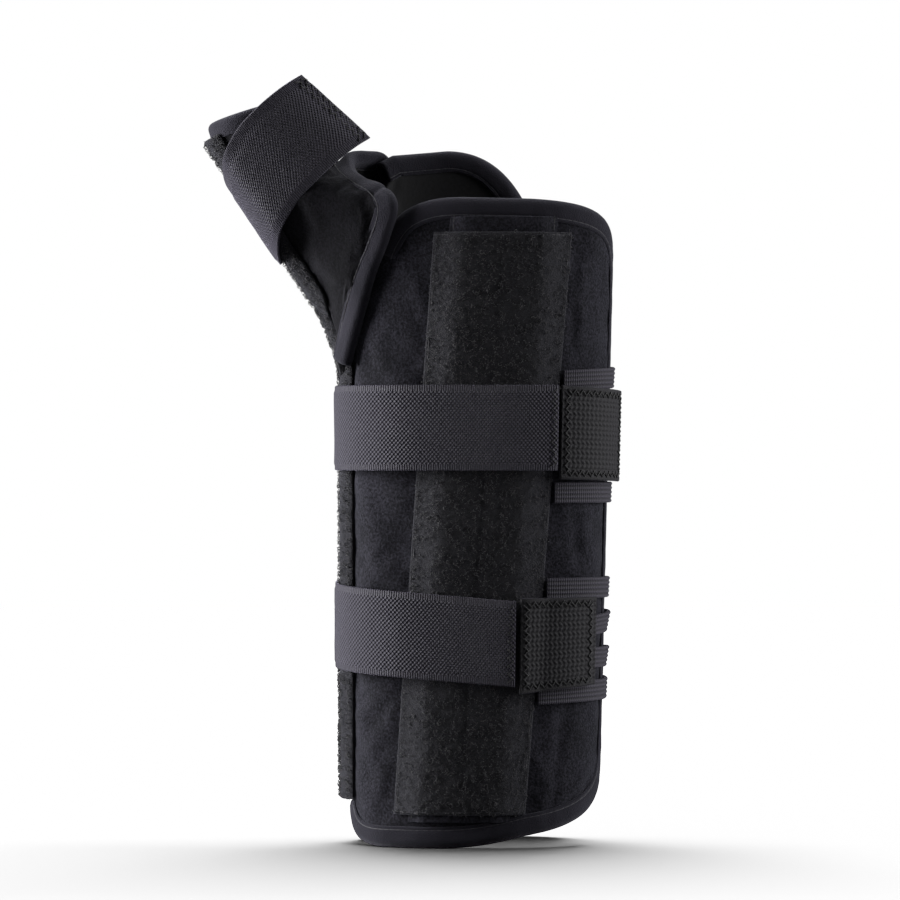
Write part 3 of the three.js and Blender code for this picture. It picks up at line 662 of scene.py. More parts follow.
def swell(obj, sewn, pressure, most):
    """Inflates a closed padded piece by a short cloth simulation that holds its sewn points.

    No point moves further than most, in millimetres. One subdivision follows."""
    mesh = obj.data
    before = np.empty(len(mesh.vertices) * 3, np.float32)
    mesh.vertices.foreach_get("co", before)
    bpy.context.scene.collection.objects.link(obj)
    group = obj.vertex_groups.new(name="sewn")
    group.add(np.flatnonzero(sewn).tolist(), 1.0, "REPLACE")
    cloth = obj.modifiers.new("swell", "CLOTH")
    cloth.settings.quality = 5
    cloth.settings.mass = 0.2
    cloth.settings.tension_stiffness = 8
    cloth.settings.compression_stiffness = 8
    cloth.settings.bending_stiffness = 0.4
    cloth.settings.vertex_group_mass = "sewn"
    cloth.settings.use_pressure = True
    cloth.settings.uniform_pressure_force = pressure
    cloth.settings.effector_weights.gravity = 0
    cloth.settings.shrink_min = -0.04
    for step in range(1, 21):
        bpy.context.scene.frame_set(step)
    graph = bpy.context.evaluated_depsgraph_get()
    after = np.empty_like(before)
    obj.evaluated_get(graph).data.vertices.foreach_get("co", after)
    obj.modifiers.remove(cloth)
    obj.vertex_groups.remove(group)
    bpy.context.scene.frame_set(1)
    bpy.context.scene.collection.objects.unlink(obj)
    move = (after - before).reshape(-1, 3)
    length = np.linalg.norm(move, axis=1, keepdims=True)
    move *= np.minimum(1, most * MM / np.maximum(length, 1e-9))
    mesh.vertices.foreach_set("co", (before.reshape(-1, 3) + move).reshape(-1))
    subdivide(obj)


def subdivide(obj):
    bpy.context.scene.collection.objects.link(obj)
    smoother = obj.modifiers.new("fine", "SUBSURF")
    smoother.levels = 1
    graph = bpy.context.evaluated_depsgraph_get()
    fine = bpy.data.meshes.new_from_object(obj.evaluated_get(graph))
    obj.modifiers.remove(smoother)
    coarse = obj.data
    obj.data = fine
    bpy.data.meshes.remove(coarse)
    bpy.context.scene.collection.objects.unlink(obj)


def inner_material(obj, material, rows, columns):
    """Gives the loft's inner sheet a second material."""
    obj.data.materials.append(material)
    width = 2 * columns
    on_inner = np.tile(np.arange(width) >= columns, rows - 1)
    index = np.zeros(len(obj.data.polygons), np.int32)
    index[:len(on_inner)] = on_inner
    obj.data.polygons.foreach_set("material_index", index)


def crease(across, along, start, end, at_start, at_end, depth, width):
    """A fold line that leans from one place across to another, between two heights."""
    place = lerp(at_start, at_end, np.clip((along - start) / (end - start), 0, 1))
    inside = smooth(along, start, start + 8) * (1 - smooth(along, end - 8, end))
    return -depth * inside * np.exp(-(((across - place) / width) ** 2))


def panel_piece(name, path, seam, is_front, strip_arc):
    """A panel's laminate: nap outside, lining inside, swollen between its sewn lines."""
    edge = inset(spaced(path, 240), UNDER_BINDING)
    corner = edge[-1] if is_front else edge[0]
    first = SEAM_GAP if is_front else edge[:, 0].min() + 0.05
    last = edge[:, 0].max() - 0.05 if is_front else GIRTH - SEAM_GAP
    u = stations(1, 0.02, 0.04)
    v = stations(1, 0.013, 0.02)
    arcs = lerp(first, last, u)
    bottom, top = span_at(edge, arcs)
    past_corner = arcs < corner[0] if is_front else arcs > corner[0]
    bottom = np.where(past_corner, corner[1] + 2, bottom)
    seam = np.array(seam, float)
    on_seam = (arcs >= seam[0, 0]) & (arcs <= seam[-1, 0])
    top = np.where(on_seam, np.interp(arcs, seam[:, 0], seam[:, 1]), top)

    arc = np.repeat(arcs[:, None], len(v), axis=1)
    z = lerp(bottom[:, None], top[:, None], v[None, :])
    side = np.minimum(arc - first, last - arc)
    rim = np.minimum(np.minimum(z - bottom[:, None], top[:, None] - z), side)
    beside_patch = np.abs(arc - strip_arc(z) - (0 if is_front else GIRTH)) - PATCH_WIDTH / 2
    from_ridge = arc if is_front else GIRTH - arc
    free = smooth(beside_patch, 1, 7) * smooth(from_ridge, STRIP_HALF_WIDTH, STRIP_HALF_WIDTH + 6)
    free = np.maximum(free, 0) * smooth(rim, 1.5, 9)
    relief = free * (0.35 + 0.22 * value_noise(arc / 11, z / 17, 3) + 0.12 * value_noise(arc / 4, z / 9, 5))
    if is_front:
        across = arc - FRONT_MIDDLE
        relief = relief + crease(across, z, 10, 56, 27.5, 33.5, 1.3, 1.5)
        relief = relief + crease(across, z, 176, 226, 34.5, 32.5, 0.5, 1.2)
        relief = relief + crease(across, z, 100, 128, 36, 35, 0.5, 1.4)
    fade = np.sqrt(np.clip(1 - (1 - np.clip(rim / 1.4, 0, 1)) ** 2, 0.02, 1))
    half = LAMINATE / 2
    outer = on_sleeve(arc, z, half + (half + relief) * fade)
    inner = on_sleeve(arc, z, half - half * fade)
    obj = loft(name, outer, inner, PLUSH)
    # The lining inside carries painted shade in part: its black is darkened for the dim interior.
    inner_material(obj, LINING_WITH_PAINTED_SHADE, *arc.shape)
    sewn = (rim < 2.5) | (free < 0.02)
    swell(obj, np.concatenate([sewn, sewn[:, ::-1]], axis=1).reshape(-1), 2.5, 0.7)
    return obj


# ------------------------------------------------------------------ edge tape

TAPE_THICKNESS = 0.65
STITCH_INSET = 6.7


def tape_profile():
    """Half of the folded tape's section: distances in from the edge, and half thicknesses."""
    d = np.array([8.0, 7.9, 7.6, 7.2, STITCH_INSET, 6.2, 5.6, 4.6, 3.6, 2.8, 2.1, 1.4, 0.8, 0.35, 0.08, 0])
    nose = 3.05 * np.sqrt(np.clip(1 - (1 - np.clip(d / 3.4, 0, 1)) ** 2, 0, 1))
    groove = 0.38 * np.exp(-(((d - STITCH_INSET) / 0.45) ** 2)) + 0.5 * smooth(d, 7.5, 8.0)
    return d, nose - groove


def binding_piece(name, path):
    """Tape folded round a panel's edge and sewn through near its inner margins."""
    points = spaced(path, 300)
    walk = np.arange(len(points)) * np.linalg.norm(points[1] - points[0])
    d, half = tape_profile()
    depth = np.concatenate([d, d[-2::-1]])
    rise = np.concatenate([half, -half[-2::-1]])
    sheets = []
    for inward in (0, TAPE_THICKNESS):
        insets = [lerp(inward, BINDING_WIDTH, x / BINDING_WIDTH) for x in depth]
        rows = np.stack([inset(points, amount) for amount in insets], axis=1)
        pucker = 1 + 0.035 * value_noise(walk[:, None] / 3.1, depth[None, :] / 4, 7)
        thick = np.sign(rise) * np.maximum(np.abs(rise) - inward, 0) * pucker
        sheets.append(on_sleeve(rows[..., 0], rows[..., 1], LAMINATE / 2 + thick))
    return loft(name, sheets[0], sheets[1], TAPE)


# ------------------------------------------------------------------ stitches and fibres

STITCH_ARCH = [
    (-0.5, 0, -0.9), (-0.42, 0, 0.1), (-0.2, 0, 0.55), (0.2, 0, 0.55), (0.42, 0, 0.1), (0.5, 0, -0.9),
]
STITCH = tube_template(STITCH_ARCH, [0.35, 0.5, 0.5, 0.5, 0.5, 0.35], 5)


def stitch_places(points, normals, pitch, length, thickness, zigzag=0.0):
    """Centres and bases of stitches along a line; zigzag turns them to and fro, in radians."""
    walk = np.concatenate([[0], np.cumsum(np.linalg.norm(np.diff(points, axis=0), axis=1))])
    at = np.arange(pitch / 2, walk[-1], pitch)
    centres = np.stack([np.interp(at, walk, points[:, k]) for k in range(3)], axis=-1)
    up = unit(np.stack([np.interp(at, walk, normals[:, k]) for k in range(3)], axis=-1))
    along = unit(np.stack([np.interp(at, walk, np.gradient(points[:, k])) for k in range(3)], axis=-1))
    frames = normal_frames(along, up)
    turn = zigzag * np.where(np.arange(len(at)) % 2, 1, -1)[:, None]
    x = frames[:, 0] * np.cos(turn) + frames[:, 1] * np.sin(turn)
    y = np.cross(frames[:, 2], x)
    return centres, np.stack([x * length, y * thickness, frames[:, 2] * thickness], axis=1)


def sew(name, lines, body, thread, pitch, length, thickness, zigzag=0.0):
    """Shows one mesh with the stitches of several lines; a line is its points and their normals."""
    placed = [stitch_places(points, normals, pitch, length, thickness, zigzag) for points, normals in lines]
    centres, bases = (np.concatenate(part) for part in zip(*placed))
    show(scatter(name, STITCH, centres, bases, thread), body)


def line_on(place, s, t, out):
    """Points and normals of a line on a placed surface."""
    s, t, out = np.broadcast_arrays(*(np.asarray(a, float) for a in (s, t, out)))
    points = place(s, t, out)
    return points, unit(place(s, t, out + 0.5) - points)


def curl_template():
    """A small open loop of fibre standing on its two feet."""
    turn = np.linspace(-0.25, 1.15, 7) * math.pi
    path = np.stack([0.5 * np.cos(turn), 0 * turn, 0.5 * np.sin(turn) + 0.3], axis=-1)
    return tube_template(path, np.full(7, 0.075), 3)


CURL = curl_template()


def fuzz_piece(name, place, size, count, seed, material=FIBRE, small=0.7, large=1.5, edge_only=False):
    """Loose loops of fibre over a placed surface, turned and scaled at random from a fixed seed."""
    draw = np.random.default_rng(seed)
    s = draw.uniform(0.2, size[0] - 0.2, count)
    t = draw.uniform(0.2, size[1] - 0.2, count)
    if edge_only:
        low_rim = draw.random(count) < 0.5
        t = np.where(low_rim, draw.uniform(0, 1.5, count), size[1] - draw.uniform(0, 1.5, count))
    points, normals = line_on(place, s, t, np.zeros(count))
    along = unit(draw.normal(size=(count, 3)))
    lean = unit(normals + 0.5 * draw.normal(size=(count, 3)))
    grow = draw.uniform(small, large, count)[:, None, None]
    return scatter(name, CURL, points, normal_frames(along, lean) * grow, material)


# ------------------------------------------------------------------ surfaces through control rows

class Ribbon:
    """A smooth surface through a grid of points; a call takes millimetres along, across and out."""

    def __init__(self, rows, along=260, across=25, side=1):
        rows = np.asarray(rows, float)
        u, w = np.linspace(0, 1, along), np.linspace(0, 1, across)
        columns = np.stack([Spline(rows[:, k])(u) for k in range(rows.shape[1])], axis=1)
        self.grid = np.stack([Spline(row)(w) for row in columns])
        middle = self.grid[:, across // 2]
        self.walk = np.concatenate([[0], np.cumsum(np.linalg.norm(np.diff(middle, axis=0), axis=1))])
        self.length = self.walk[-1]
        self.width = np.linalg.norm(np.diff(self.grid, axis=1), axis=2).sum(axis=1).mean()
        slope = np.cross(np.gradient(self.grid, axis=0), np.gradient(self.grid, axis=1))
        self.normal = side * unit(slope)

    def __call__(self, s, t, out):
        s, t, out = np.broadcast_arrays(*(np.asarray(a, float) for a in (s, t, out)))
        rows, columns = self.grid.shape[:2]
        r = np.interp(s, self.walk, np.arange(rows))
        c = np.clip(t / self.width, 0, 1) * (columns - 1)
        i, j = np.minimum(r.astype(int), rows - 2), np.minimum(c.astype(int), columns - 2)
        a, b = (r - i)[..., None], (c - j)[..., None]

        def between(grid):
            return lerp(lerp(grid[i, j], grid[i, j + 1], b), lerp(grid[i + 1, j], grid[i + 1, j + 1], b), a)

        return between(self.grid) + unit(between(self.normal)) * out[..., None]


class ThumbHalf:
    """One half of the thumb sleeve: rows run from its radial ridge (v = 0) to its edge (v = 1)."""

    def __init__(self, rows, side):
        self.side = side
        self.ridge = Spline([row[0] for row in rows])
        self.edge = Spline([row[1] for row in rows])
        self.form = Spline([(row[2], row[3]) for row in rows], power=0)

    def base(self, v, t):
        v, t = np.broadcast_arrays(np.asarray(v, float), np.asarray(t, float))
        start, end, form = self.ridge(t), self.edge(t), self.form(t)
        sweep = np.radians(np.minimum(form[..., 1], 180))
        forward = (1 - np.cos(sweep * v)) / (1 - np.cos(sweep))
        lift = self.side * form[..., 0]
        point = lerp(start, end, forward[..., None])
        bulge = lift * np.sin(sweep * v) + (end[..., 1] - start[..., 1] - lift * np.sin(sweep)) * forward
        return np.stack([point[..., 0], start[..., 1] + bulge, point[..., 2]], axis=-1)

    def __call__(self, v, t, out):
        """v may pass 1 a little: the surface then runs straight on past its edge."""
        v, t, out = np.broadcast_arrays(*(np.asarray(a, float) for a in (v, t, out)))
        held, tiny = np.minimum(v, 1), 2e-3
        across = self.base(held, t) - self.base(held - tiny, t)
        up = self.base(held, np.minimum(t + tiny, 1)) - self.base(held, np.maximum(t - tiny, 0))
        normal = -self.side * unit(np.cross(across, up))
        beyond = across / tiny * (v - held)[..., None]
        return self.base(held, t) + beyond + normal * out[..., None]


def thumb_point(along, across, y):
    point = THUMB_ROOT + ALONG * along + ACROSS * across
    return np.array([point[0], y, point[2]])


def thumb_rows(side):
    """Rows of a half: ridge point, edge point, bulge and sweep in degrees. Side -1 is the front."""
    y = side * SEAM_GAP
    if side < 0:
        low = [(9, 182), (13, 200), (19, 218), (25, 236)]
        web = (thumb_point(42, 35, -12), 16, 140)
        crest = 51
    else:
        low = [(-9, 184), (-14, 206), (-19, 228), (-24, 252)]
        web = (thumb_point(50, 39, 14), 17, 130)
        crest = 52
    forms = [(5, 8, 90), (13, 8, 92), (24, 9, 96), (36, 12, 102)]
    rows = [(on_sleeve(-side * 0.6, 175, 2.0), on_sleeve(-side * 6, 168, LAMINATE - 1.5), 4, 90)]
    rows += [(thumb_point(along, RIDGE, y), on_sleeve(*place, OVER_PANEL), bulge, sweep)
             for (along, bulge, sweep), place in zip(forms, low)]
    rows.append((thumb_point(46, RIDGE, y), *web))
    rows.append((thumb_point(54, RIDGE, y), thumb_point(crest, CREST, side * CROTCH_GAP), 13, 180))
    rows.append((thumb_point(70, RIDGE, y), thumb_point(66, CREST, y), 13, 180))
    tip_crest = thumb_point(THUMB_LENGTH - 2 - TIP_DROP, CREST - 1, y)
    rows.append((thumb_point(THUMB_LENGTH, RIDGE, y), tip_crest, 12.5, 180))
    return rows


FRONT_THUMB = ThumbHalf(thumb_rows(-1), -1)
BACK_THUMB = ThumbHalf(thumb_rows(1), 1)
THUMB_ROWS = 8


def thumb_half_piece(name, half, seed):
    """Padded laminate of one half; its free edge runs on under the opening's tape."""
    t = stations(1, 0.0125, 0.02)[None, :]
    v = stations(1, 0.022, 0.03)[:, None]
    open_edge = 1 - smooth(t * THUMB_ROWS, 4.9, 5.6)
    reach = v * (1 + 0.055 * open_edge)
    rim = np.minimum(np.minimum(v, 1 - v) * 38, np.minimum(t, 1 - t) * 88)
    free = smooth(v, 0.20, 0.36) * smooth(rim, 1.5, 7)
    lie = value_noise(v * 5, t * 7, seed) * 0.35 + value_noise(v * 13, t * 10, seed + 1) * 0.12
    relief = free * (0.5 + lie)
    fade = np.sqrt(np.clip(1 - (1 - np.clip(rim / 1.4, 0, 1)) ** 2, 0.02, 1))
    mid = LAMINATE / 2
    outer = half(reach, t, mid + (mid + relief) * fade)
    inner = half(reach, t, mid - mid * fade)
    # The nap here is the darker plush copy: painted shade.
    obj = loft(name, outer, inner, SHADED_THUMB_PLUSH)
    # The lining here carries painted shade in part, as on the panels.
    inner_material(obj, LINING_WITH_PAINTED_SHADE, *rim.shape)
    sewn = (rim < 2.2) | (free < 0.02)
    swell(obj, np.concatenate([sewn, sewn[:, ::-1]], axis=1).reshape(-1), 2.5, 0.8)
    return obj


# ------------------------------------------------------------------ laminate parts

def add_panels():
    for side, path, seam, strip_arc in [
        ("front", FRONT_OUTLINE, FRONT_SEAM, front_strip_arc),
        ("back", BACK_OUTLINE, BACK_SEAM, back_strip_arc),
    ]:
        panel = panel_piece(f"{side}_panel_laminate", path, seam, side == "front", strip_arc)
        show(panel, "splint_body", [f"{side}_panel"])
        tape = binding_piece(f"{side}_panel_tape", path)
        show(tape, "splint_body", [f"{side}_panel_binding"])
        margin = inset(spaced(path, 300), STITCH_INSET)
        outside = line_on(on_sleeve, margin[:, 0], margin[:, 1], LAMINATE + 0.52)
        within = line_on(on_sleeve, margin[:, 0], margin[:, 1], -0.52)
        sew(f"{side}_tape_stitches", [outside, (within[0], -within[1])],
            "splint_body", THREAD, 2.6, 2.1, 0.3)


def add_thumb_halves():
    for name, half, node, seed in [
        ("thumb_front_laminate", FRONT_THUMB, "thumb_front_half", 21),
        ("thumb_back_laminate", BACK_THUMB, "thumb_back_half", 27),
    ]:
        show(thumb_half_piece(name, half, seed), "splint_body", [node])


def roll_piece(name, centres, outward, closed=False, reach=5.4, half=2.55, pinch=None):
    """Tape rolled round an edge: a rounded nose towards outward and flanges behind it."""
    centres, outward = np.asarray(centres), unit(np.asarray(outward))
    if closed:
        way = np.roll(centres, -1, axis=0) - np.roll(centres, 1, axis=0)
    else:
        way = np.gradient(centres, axis=0)
    way = unit(way)
    outward = unit(outward - way * np.sum(outward * way, axis=1, keepdims=True))
    up = np.cross(way, outward)
    hem = [step - reach for step in (0, 0.1, 0.5, 1.0, 1.5)]
    x = np.array([*hem, -2.4, -1.2, 0, 0.8, 1.5, 2.05, 2.4, 2.58, 2.65])
    h = half * np.sqrt(np.clip(1 - (np.maximum(x, 0) / 2.66) ** 2, 0, 1))
    h = h - 0.3 * np.exp(-(((x + reach - 1.0) / 0.4) ** 2)) - 0.25 * (1 - smooth(x, -reach, -reach + 0.4))
    scale = 1 if pinch is None else pinch[:, None]
    rows = np.arange(len(centres))[:, None]
    pucker = (1 + 0.04 * value_noise(rows / 2.3, x[None, :] / 3, 13)) * scale
    shift = x[None, :] * (scale if pinch is not None else 1)
    middle = centres[:, None] + outward[:, None] * np.broadcast_to(shift, pucker.shape)[..., None]
    lift = up[:, None] * (h[None, :] * pucker)[..., None]
    return loft(name, middle + lift, middle - lift, TAPE, closed)


def opening_path():
    """The centre line of the thumb opening's tape, up the front and down the back, and its nose's way."""
    beyond = EDGE_ROLL + 1.3
    centres, outward = [], []

    def take(half, rows):
        t = np.array(rows) / THUMB_ROWS
        edge, before = half(1, t, LAMINATE / 2), half(0.97, t, LAMINATE / 2)
        away = unit(edge - before)
        centres.extend(edge + away * beyond)
        outward.extend(away)

    take(FRONT_THUMB, [1.1, 1.6, 2.2, 2.8, 3.4, 4, 4.4, 4.8])
    centres.append(thumb_point(47.5, CREST + LAMINATE + beyond, 0))
    outward.append(unit(ACROSS - 0.5 * ALONG))
    take(BACK_THUMB, [5, 4.6, 4.2, 3.6, 3, 2.4, 1.8, 1.1])
    t = np.linspace(0, 1, 180)
    return Spline(centres)(t), Spline(outward)(t)


def add_thumb_tapes():
    centres, outward = opening_path()
    rows = np.arange(len(centres))
    notch = 66
    pinch = 1 - 0.22 * np.exp(-(((rows - notch) / 1.6) ** 2))
    show(roll_piece("thumb_opening_tape", centres, outward, pinch=pinch),
         "splint_body", ["thumb_opening_binding"])
    way = unit(np.gradient(centres, axis=0))
    up = unit(np.cross(way, outward))
    behind = centres - unit(outward) * 4.4
    lines = [(behind + side * up * 2.38, side * up) for side in (1, -1)]
    sew("thumb_opening_stitches", lines, "splint_body", THREAD, 2.4, 1.9, 0.28)

    turn = np.linspace(0, TAU, 96, endpoint=False)[:, None]
    middle = LAMINATE / 2
    centre = THUMB_ROOT + ALONG * (THUMB_LENGTH + EDGE_ROLL - 1.4 - TIP_DROP / 2) + ACROSS * BORE_CENTRE
    radius = BORE_HALF_WIDTH + middle
    ring = (centre - (ACROSS * radius - ALONG * TIP_DROP / 2) * np.cos(turn)
            + np.array([0, 1, 0]) * (BORE_HALF_DEPTH + middle - 1) * np.sin(turn))
    outward = unit(ALONG * radius + ACROSS * TIP_DROP / 2)
    tape = roll_piece("thumb_tip_tape", ring, np.broadcast_to(outward, ring.shape), True, 4.2, 2.4)
    show(tape, "splint_body", ["thumb_tip_binding"])


# ------------------------------------------------------------------ pockets, loop patches, stays

def strip_place(strip_arc, start, width):
    def place(s, t, out):
        z = start + s
        return on_sleeve(strip_arc(z) + t - width / 2, z, out)
    return place


def rise(low, high, width, slope):
    """A face that rises from low at both long rims to high within a slope's width."""
    return lambda s, t: lerp(low, high, smooth(width / 2 - np.abs(t - width / 2), 0, slope)) + 0 * s


def level(out):
    return lambda s, t: out + 0 * s * t


def plus(first, thickness):
    return lambda s, t: first(s, t) + thickness


def pile_relief(seed, groove_at=None):
    def relief(s, t):
        rough = 0.22 * value_noise(s / 1.3, t / 1.3, seed) + 0.13 * value_noise(s / 0.7, t / 0.7, seed + 1)
        if groove_at is not None:
            rough = rough - 0.35 * np.exp(-(((t - groove_at) / 0.7) ** 2))
        return rough
    return relief


def add_strip_set(side, strip_arc, patch_top, pocket_top, seed):
    pocket_bottom = 9.8
    pocket_size = (pocket_top - pocket_bottom, POCKET_WIDTH)
    place = strip_place(strip_arc, pocket_bottom, POCKET_WIDTH)
    low = rise(LAMINATE + 0.1, POCKET_LAYER, POCKET_WIDTH, 6.5)
    pocket = sheet_piece(f"{side}_stay_pocket_cloth", place, pocket_size, (2.4, 1.2), low,
                         plus(low, POCKET_CLOTH), POCKET)
    show(pocket, "splint_body", [f"{side}_stay_pocket"])
    s = np.linspace(1, pocket_size[0] - 1, 120)
    seams = [line_on(place, s, t, LAMINATE + 0.95) for t in (1.3, POCKET_WIDTH - 1.3)]
    sew(f"{side}_pocket_stitches", seams, "splint_body", DARK_THREAD, 2.6, 2.1, 0.32)

    size = (patch_top - PATCH_BOTTOM, PATCH_WIDTH)
    place = strip_place(strip_arc, PATCH_BOTTOM, PATCH_WIDTH)
    low = rise(LAMINATE + 0.35, PATCH_LAYER, PATCH_WIDTH, 11)
    high = plus(low, LOOP_PILE - 0.3)
    patch = sheet_piece(f"{side}_loop_tape", place, size, (0.8, 0.8), low, high, PILE, 0.8,
                        pile_relief(seed, PATCH_WIDTH / 2))
    show(patch, "splint_body", [f"{side}_loop_patch"])

    def on_top(s, t, out):
        return place(s, t, high(s, t) + out)

    show(fuzz_piece(f"{side}_loop_tape_curls", on_top, size, 5200, seed + 2), "splint_body")
    s, t = np.linspace(0.6, size[0] - 0.6, 160), np.linspace(0.6, size[1] - 0.6, 40)
    rims = [line_on(on_top, s, edge, -0.25) for edge in (1.1, size[1] - 1.1)]
    rims += [line_on(on_top, edge, t, -0.25) for edge in (1.1, size[0] - 1.1)]
    sew(f"{side}_loop_tape_stitches", rims, "splint_body", THREAD, 2.3, 2.1, 0.26)


def ridge_point(distance, t):
    """A point of the thumb sleeve this far round from its ridge, on the front half if positive."""
    half = FRONT_THUMB if distance > 0 else BACK_THUMB
    walk = half(np.linspace(0, 1, 30), t, 0)
    girth = np.linalg.norm(np.diff(walk, axis=0), axis=1).sum()
    return half(min(abs(distance) / girth, 0.6), t, 0)


def radial_strip_ribbon():
    """The loop strip up the radial side, bending out over the thumb's ridge to its tip."""
    across = np.linspace(-1, 1, 9)
    rows = []
    for z in (17, 60, 110, 150, 168, 181):
        rows.append([on_sleeve(10 * a, z, 0.7 * (z > 180)) for a in across])
    for row in (1.6, 2.2, 3, 4, 5, 6, 7, 7.98):
        rows.append([ridge_point(a * 9, row / THUMB_ROWS) for a in across])
    return Ribbon(rows, side=-1)


def add_radial_strip():
    place = radial_strip_ribbon()
    size = (place.length, place.width)
    crown = rise(LAMINATE + 0.3, STRIP_LAYER, place.width, 4.5)
    high = plus(crown, LOOP_PILE)
    strip = sheet_piece("radial_loop_tape", place, size, (0.8, 0.8), crown, high, PILE, 0.8, pile_relief(51))
    show(strip, "splint_body", ["radial_loop_strip", "thumb_loop_strip"])

    def on_top(s, t, out):
        return place(s, t, high(s, t) + out)

    show(fuzz_piece("radial_loop_tape_curls", on_top, size, 3800, 53), "splint_body")
    edge_curls = fuzz_piece("radial_loop_tape_edge_curls", on_top, size, 900, 57, edge_only=True)
    show(edge_curls, "splint_body")


def dress_stays():
    """The stays keep their CAD shape, inside their pockets, in satin aluminium."""
    for node in ("front_stay", "back_stay", "thumb_stay"):
        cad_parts[node].material_slots[0].material = METAL


# ------------------------------------------------------------------ straps

HOOK_STEM = tube_template([(0, 0, 0), (0, 0, 0.5), (0.12, 0, 0.8), (0.36, 0, 0.9), (0.5, 0, 0.68)],
                          [0.17, 0.13, 0.12, 0.1, 0.07], 4)
HOOK_PITCH = 1.25
HOOK_BASE = 0.35
HOOK_MARGIN = 0.8
HOOK_LENGTH, FIXED_HOOK_LENGTH, THUMB_HOOK_LENGTH = 40, 26, 26


def hook_piece(name, place, size):
    """Hook tape: a thin base with rows of small bent hooks on its inner face."""
    base = sheet_piece(f"{name}_base", place, size, (1.5, 1.5), level(HOOK - HOOK_BASE), level(HOOK),
                       HOOKS, 0.15)
    s, t = np.meshgrid(*(np.arange(1, span - 0.8, HOOK_PITCH) for span in size), indexing="ij")
    s, t = s.ravel() + 0.3 * (np.round(t.ravel() / HOOK_PITCH) % 2), t.ravel()
    points, normals = line_on(place, s, t, HOOK - HOOK_BASE + 0.05)
    along = place(s + 0.3, t, HOOK) - place(s, t, HOOK)
    bases = normal_frames(along * np.where(np.arange(len(s)) % 2, 1, -1)[:, None], -normals)
    return base, scatter(f"{name}_hooks", HOOK_STEM, points, bases * 0.5, HOOKS)


def show_hooks(name, place, size, body, node):
    base, hooks = hook_piece(name, place, size)
    show(base, body, [node])
    show(hooks, body)


UPPER_STRAP_HEIGHT = 155.5
LOWER_STRAP_HEIGHT, LOWER_STRAP_TILT = 82.1, 0.088
BACK_STRAP_END = BACK_MIDDLE - 6
ZIGZAG = math.radians(52)
STRAPS = {
    "upper_strap": (lambda arc: UPPER_STRAP_HEIGHT + 0 * arc, FRONT_MIDDLE + 25.5),
    "lower_strap": (lambda arc: LOWER_STRAP_HEIGHT - LOWER_STRAP_TILT * arc, FRONT_MIDDLE + 13),
}
UPPER_STRAP_END, LOWER_STRAP_END = STRAPS["upper_strap"][1], STRAPS["lower_strap"][1]


def strap_out(arc):
    return lerp(STRAP_OVER_STRIP, STRAP_OVER_PATCH + HOOK + 0.3, smooth(np.abs(arc), 8, 34))


def strap_relief(seed):
    """Soft waves of a strap under light tension, and thinner selvedges."""
    def relief(s, t):
        waves = 0.14 * value_noise(s / 16, t / 9, seed) + 0.05 * value_noise(s / 5, t / 4, seed + 1)
        selvedge = smooth(np.abs(t - STRAP_WIDTH / 2), STRAP_WIDTH / 2 - 2.6, STRAP_WIDTH / 2 - 1.9)
        return waves - 0.3 * selvedge
    return relief


def zigzag_rows(place, s_places, width):
    """Lines across a strap, at places along it."""
    t = np.linspace(1.5, width - 1.5, 60)
    return [line_on(place, s, t, WEBBING - 0.02) for s in s_places]


def add_forearm_straps():
    for seed, (name, (height, end)) in enumerate(STRAPS.items(), 61):
        start = BACK_STRAP_END

        def place(s, t, out, width=STRAP_WIDTH):
            arc = start + s
            return on_sleeve(arc, height(arc) + t - width / 2, strap_out(arc) + out)

        size = (end - start, STRAP_WIDTH)
        strap = sheet_piece(f"{name}_webbing", place, size, (0.9, 1.1), level(0), level(WEBBING),
                            STRAP, 0.45, strap_relief(seed))
        # This line, in metres, from the back of the ridge to its front, is passed to show(), which only bakes
        # the strap's transform; no peel or fold is made from it.
        middle = height(0) * MM
        fold = ((-0.0293, 0.0075, middle), (-0.0293, -0.0045, middle))
        show(strap, name, [name, f"{name}_fixed_end"], blend=fold)

        for first, length, body, node in [
            (end - HOOK_LENGTH, HOOK_LENGTH - HOOK_MARGIN, name, f"{name}_hook"),
            (start + HOOK_MARGIN, FIXED_HOOK_LENGTH - HOOK_MARGIN, "splint_body", f"{name}_fixed_hook"),
        ]:
            def hook_place(s, t, out, first=first):
                arc = first + s
                z = height(arc) + t - STRAP_WIDTH / 2 + HOOK_MARGIN
                return on_sleeve(arc, z, STRAP_OVER_PATCH + out)

            show_hooks(node + "_tape", hook_place, (length, STRAP_WIDTH - 2 * HOOK_MARGIN), body, node)
        for part, body, places in [
            ("end", name, (size[0] - 1.6,)),
            ("fixed_end", "splint_body", (1.8, 24.6)),
        ]:
            rows = zigzag_rows(place, places, STRAP_WIDTH)
            sew(f"{name}_{part}_stitches", rows, body, DARK_THREAD, 1.5, 2.0, 0.3, ZIGZAG)


THUMB_STRAP_HALF_WIDTH = 17.5
CUT_END_TURN = math.radians(13.6)
THUMB_STRAP_LINE = [
    (51, -0.8, -2), (55, 0.5, -10.5), (61, 5.3, -17.2), (66, 15, -19.5), (68.5, 25, -20),
    (70, 35, -18), (70.5, 42, -15), (70.5, 48, -10.5),
]


def thumb_strap_ribbon():
    """The thumb strap from its sewn end on the back half, round the ridge and over the front."""
    across = np.linspace(0, 1, 7)
    rows = []
    for turn in (0.6, 0.5, 0.4, 0.3, 0.2, 0.12):
        under = lerp(STRAP_OVER_STRIP, LAMINATE + 2 * GAP, smooth(turn, 0.27, 0.45))
        rows.append([BACK_THUMB(turn, lerp(4, 7, v) / THUMB_ROWS, under) for v in across])
    for step, (along, over, y) in enumerate(THUMB_STRAP_LINE, 1):
        lean = THUMB_LEAN + CUT_END_TURN * smooth(step / len(THUMB_STRAP_LINE), 0.1, 0.9)
        way = np.array([-np.sin(lean), 0, np.cos(lean)])
        middle = thumb_point(along, over, y)
        rows.append([middle + way * (v - 0.5) * 2 * THUMB_STRAP_HALF_WIDTH for v in across])
    return Ribbon(rows, along=320)


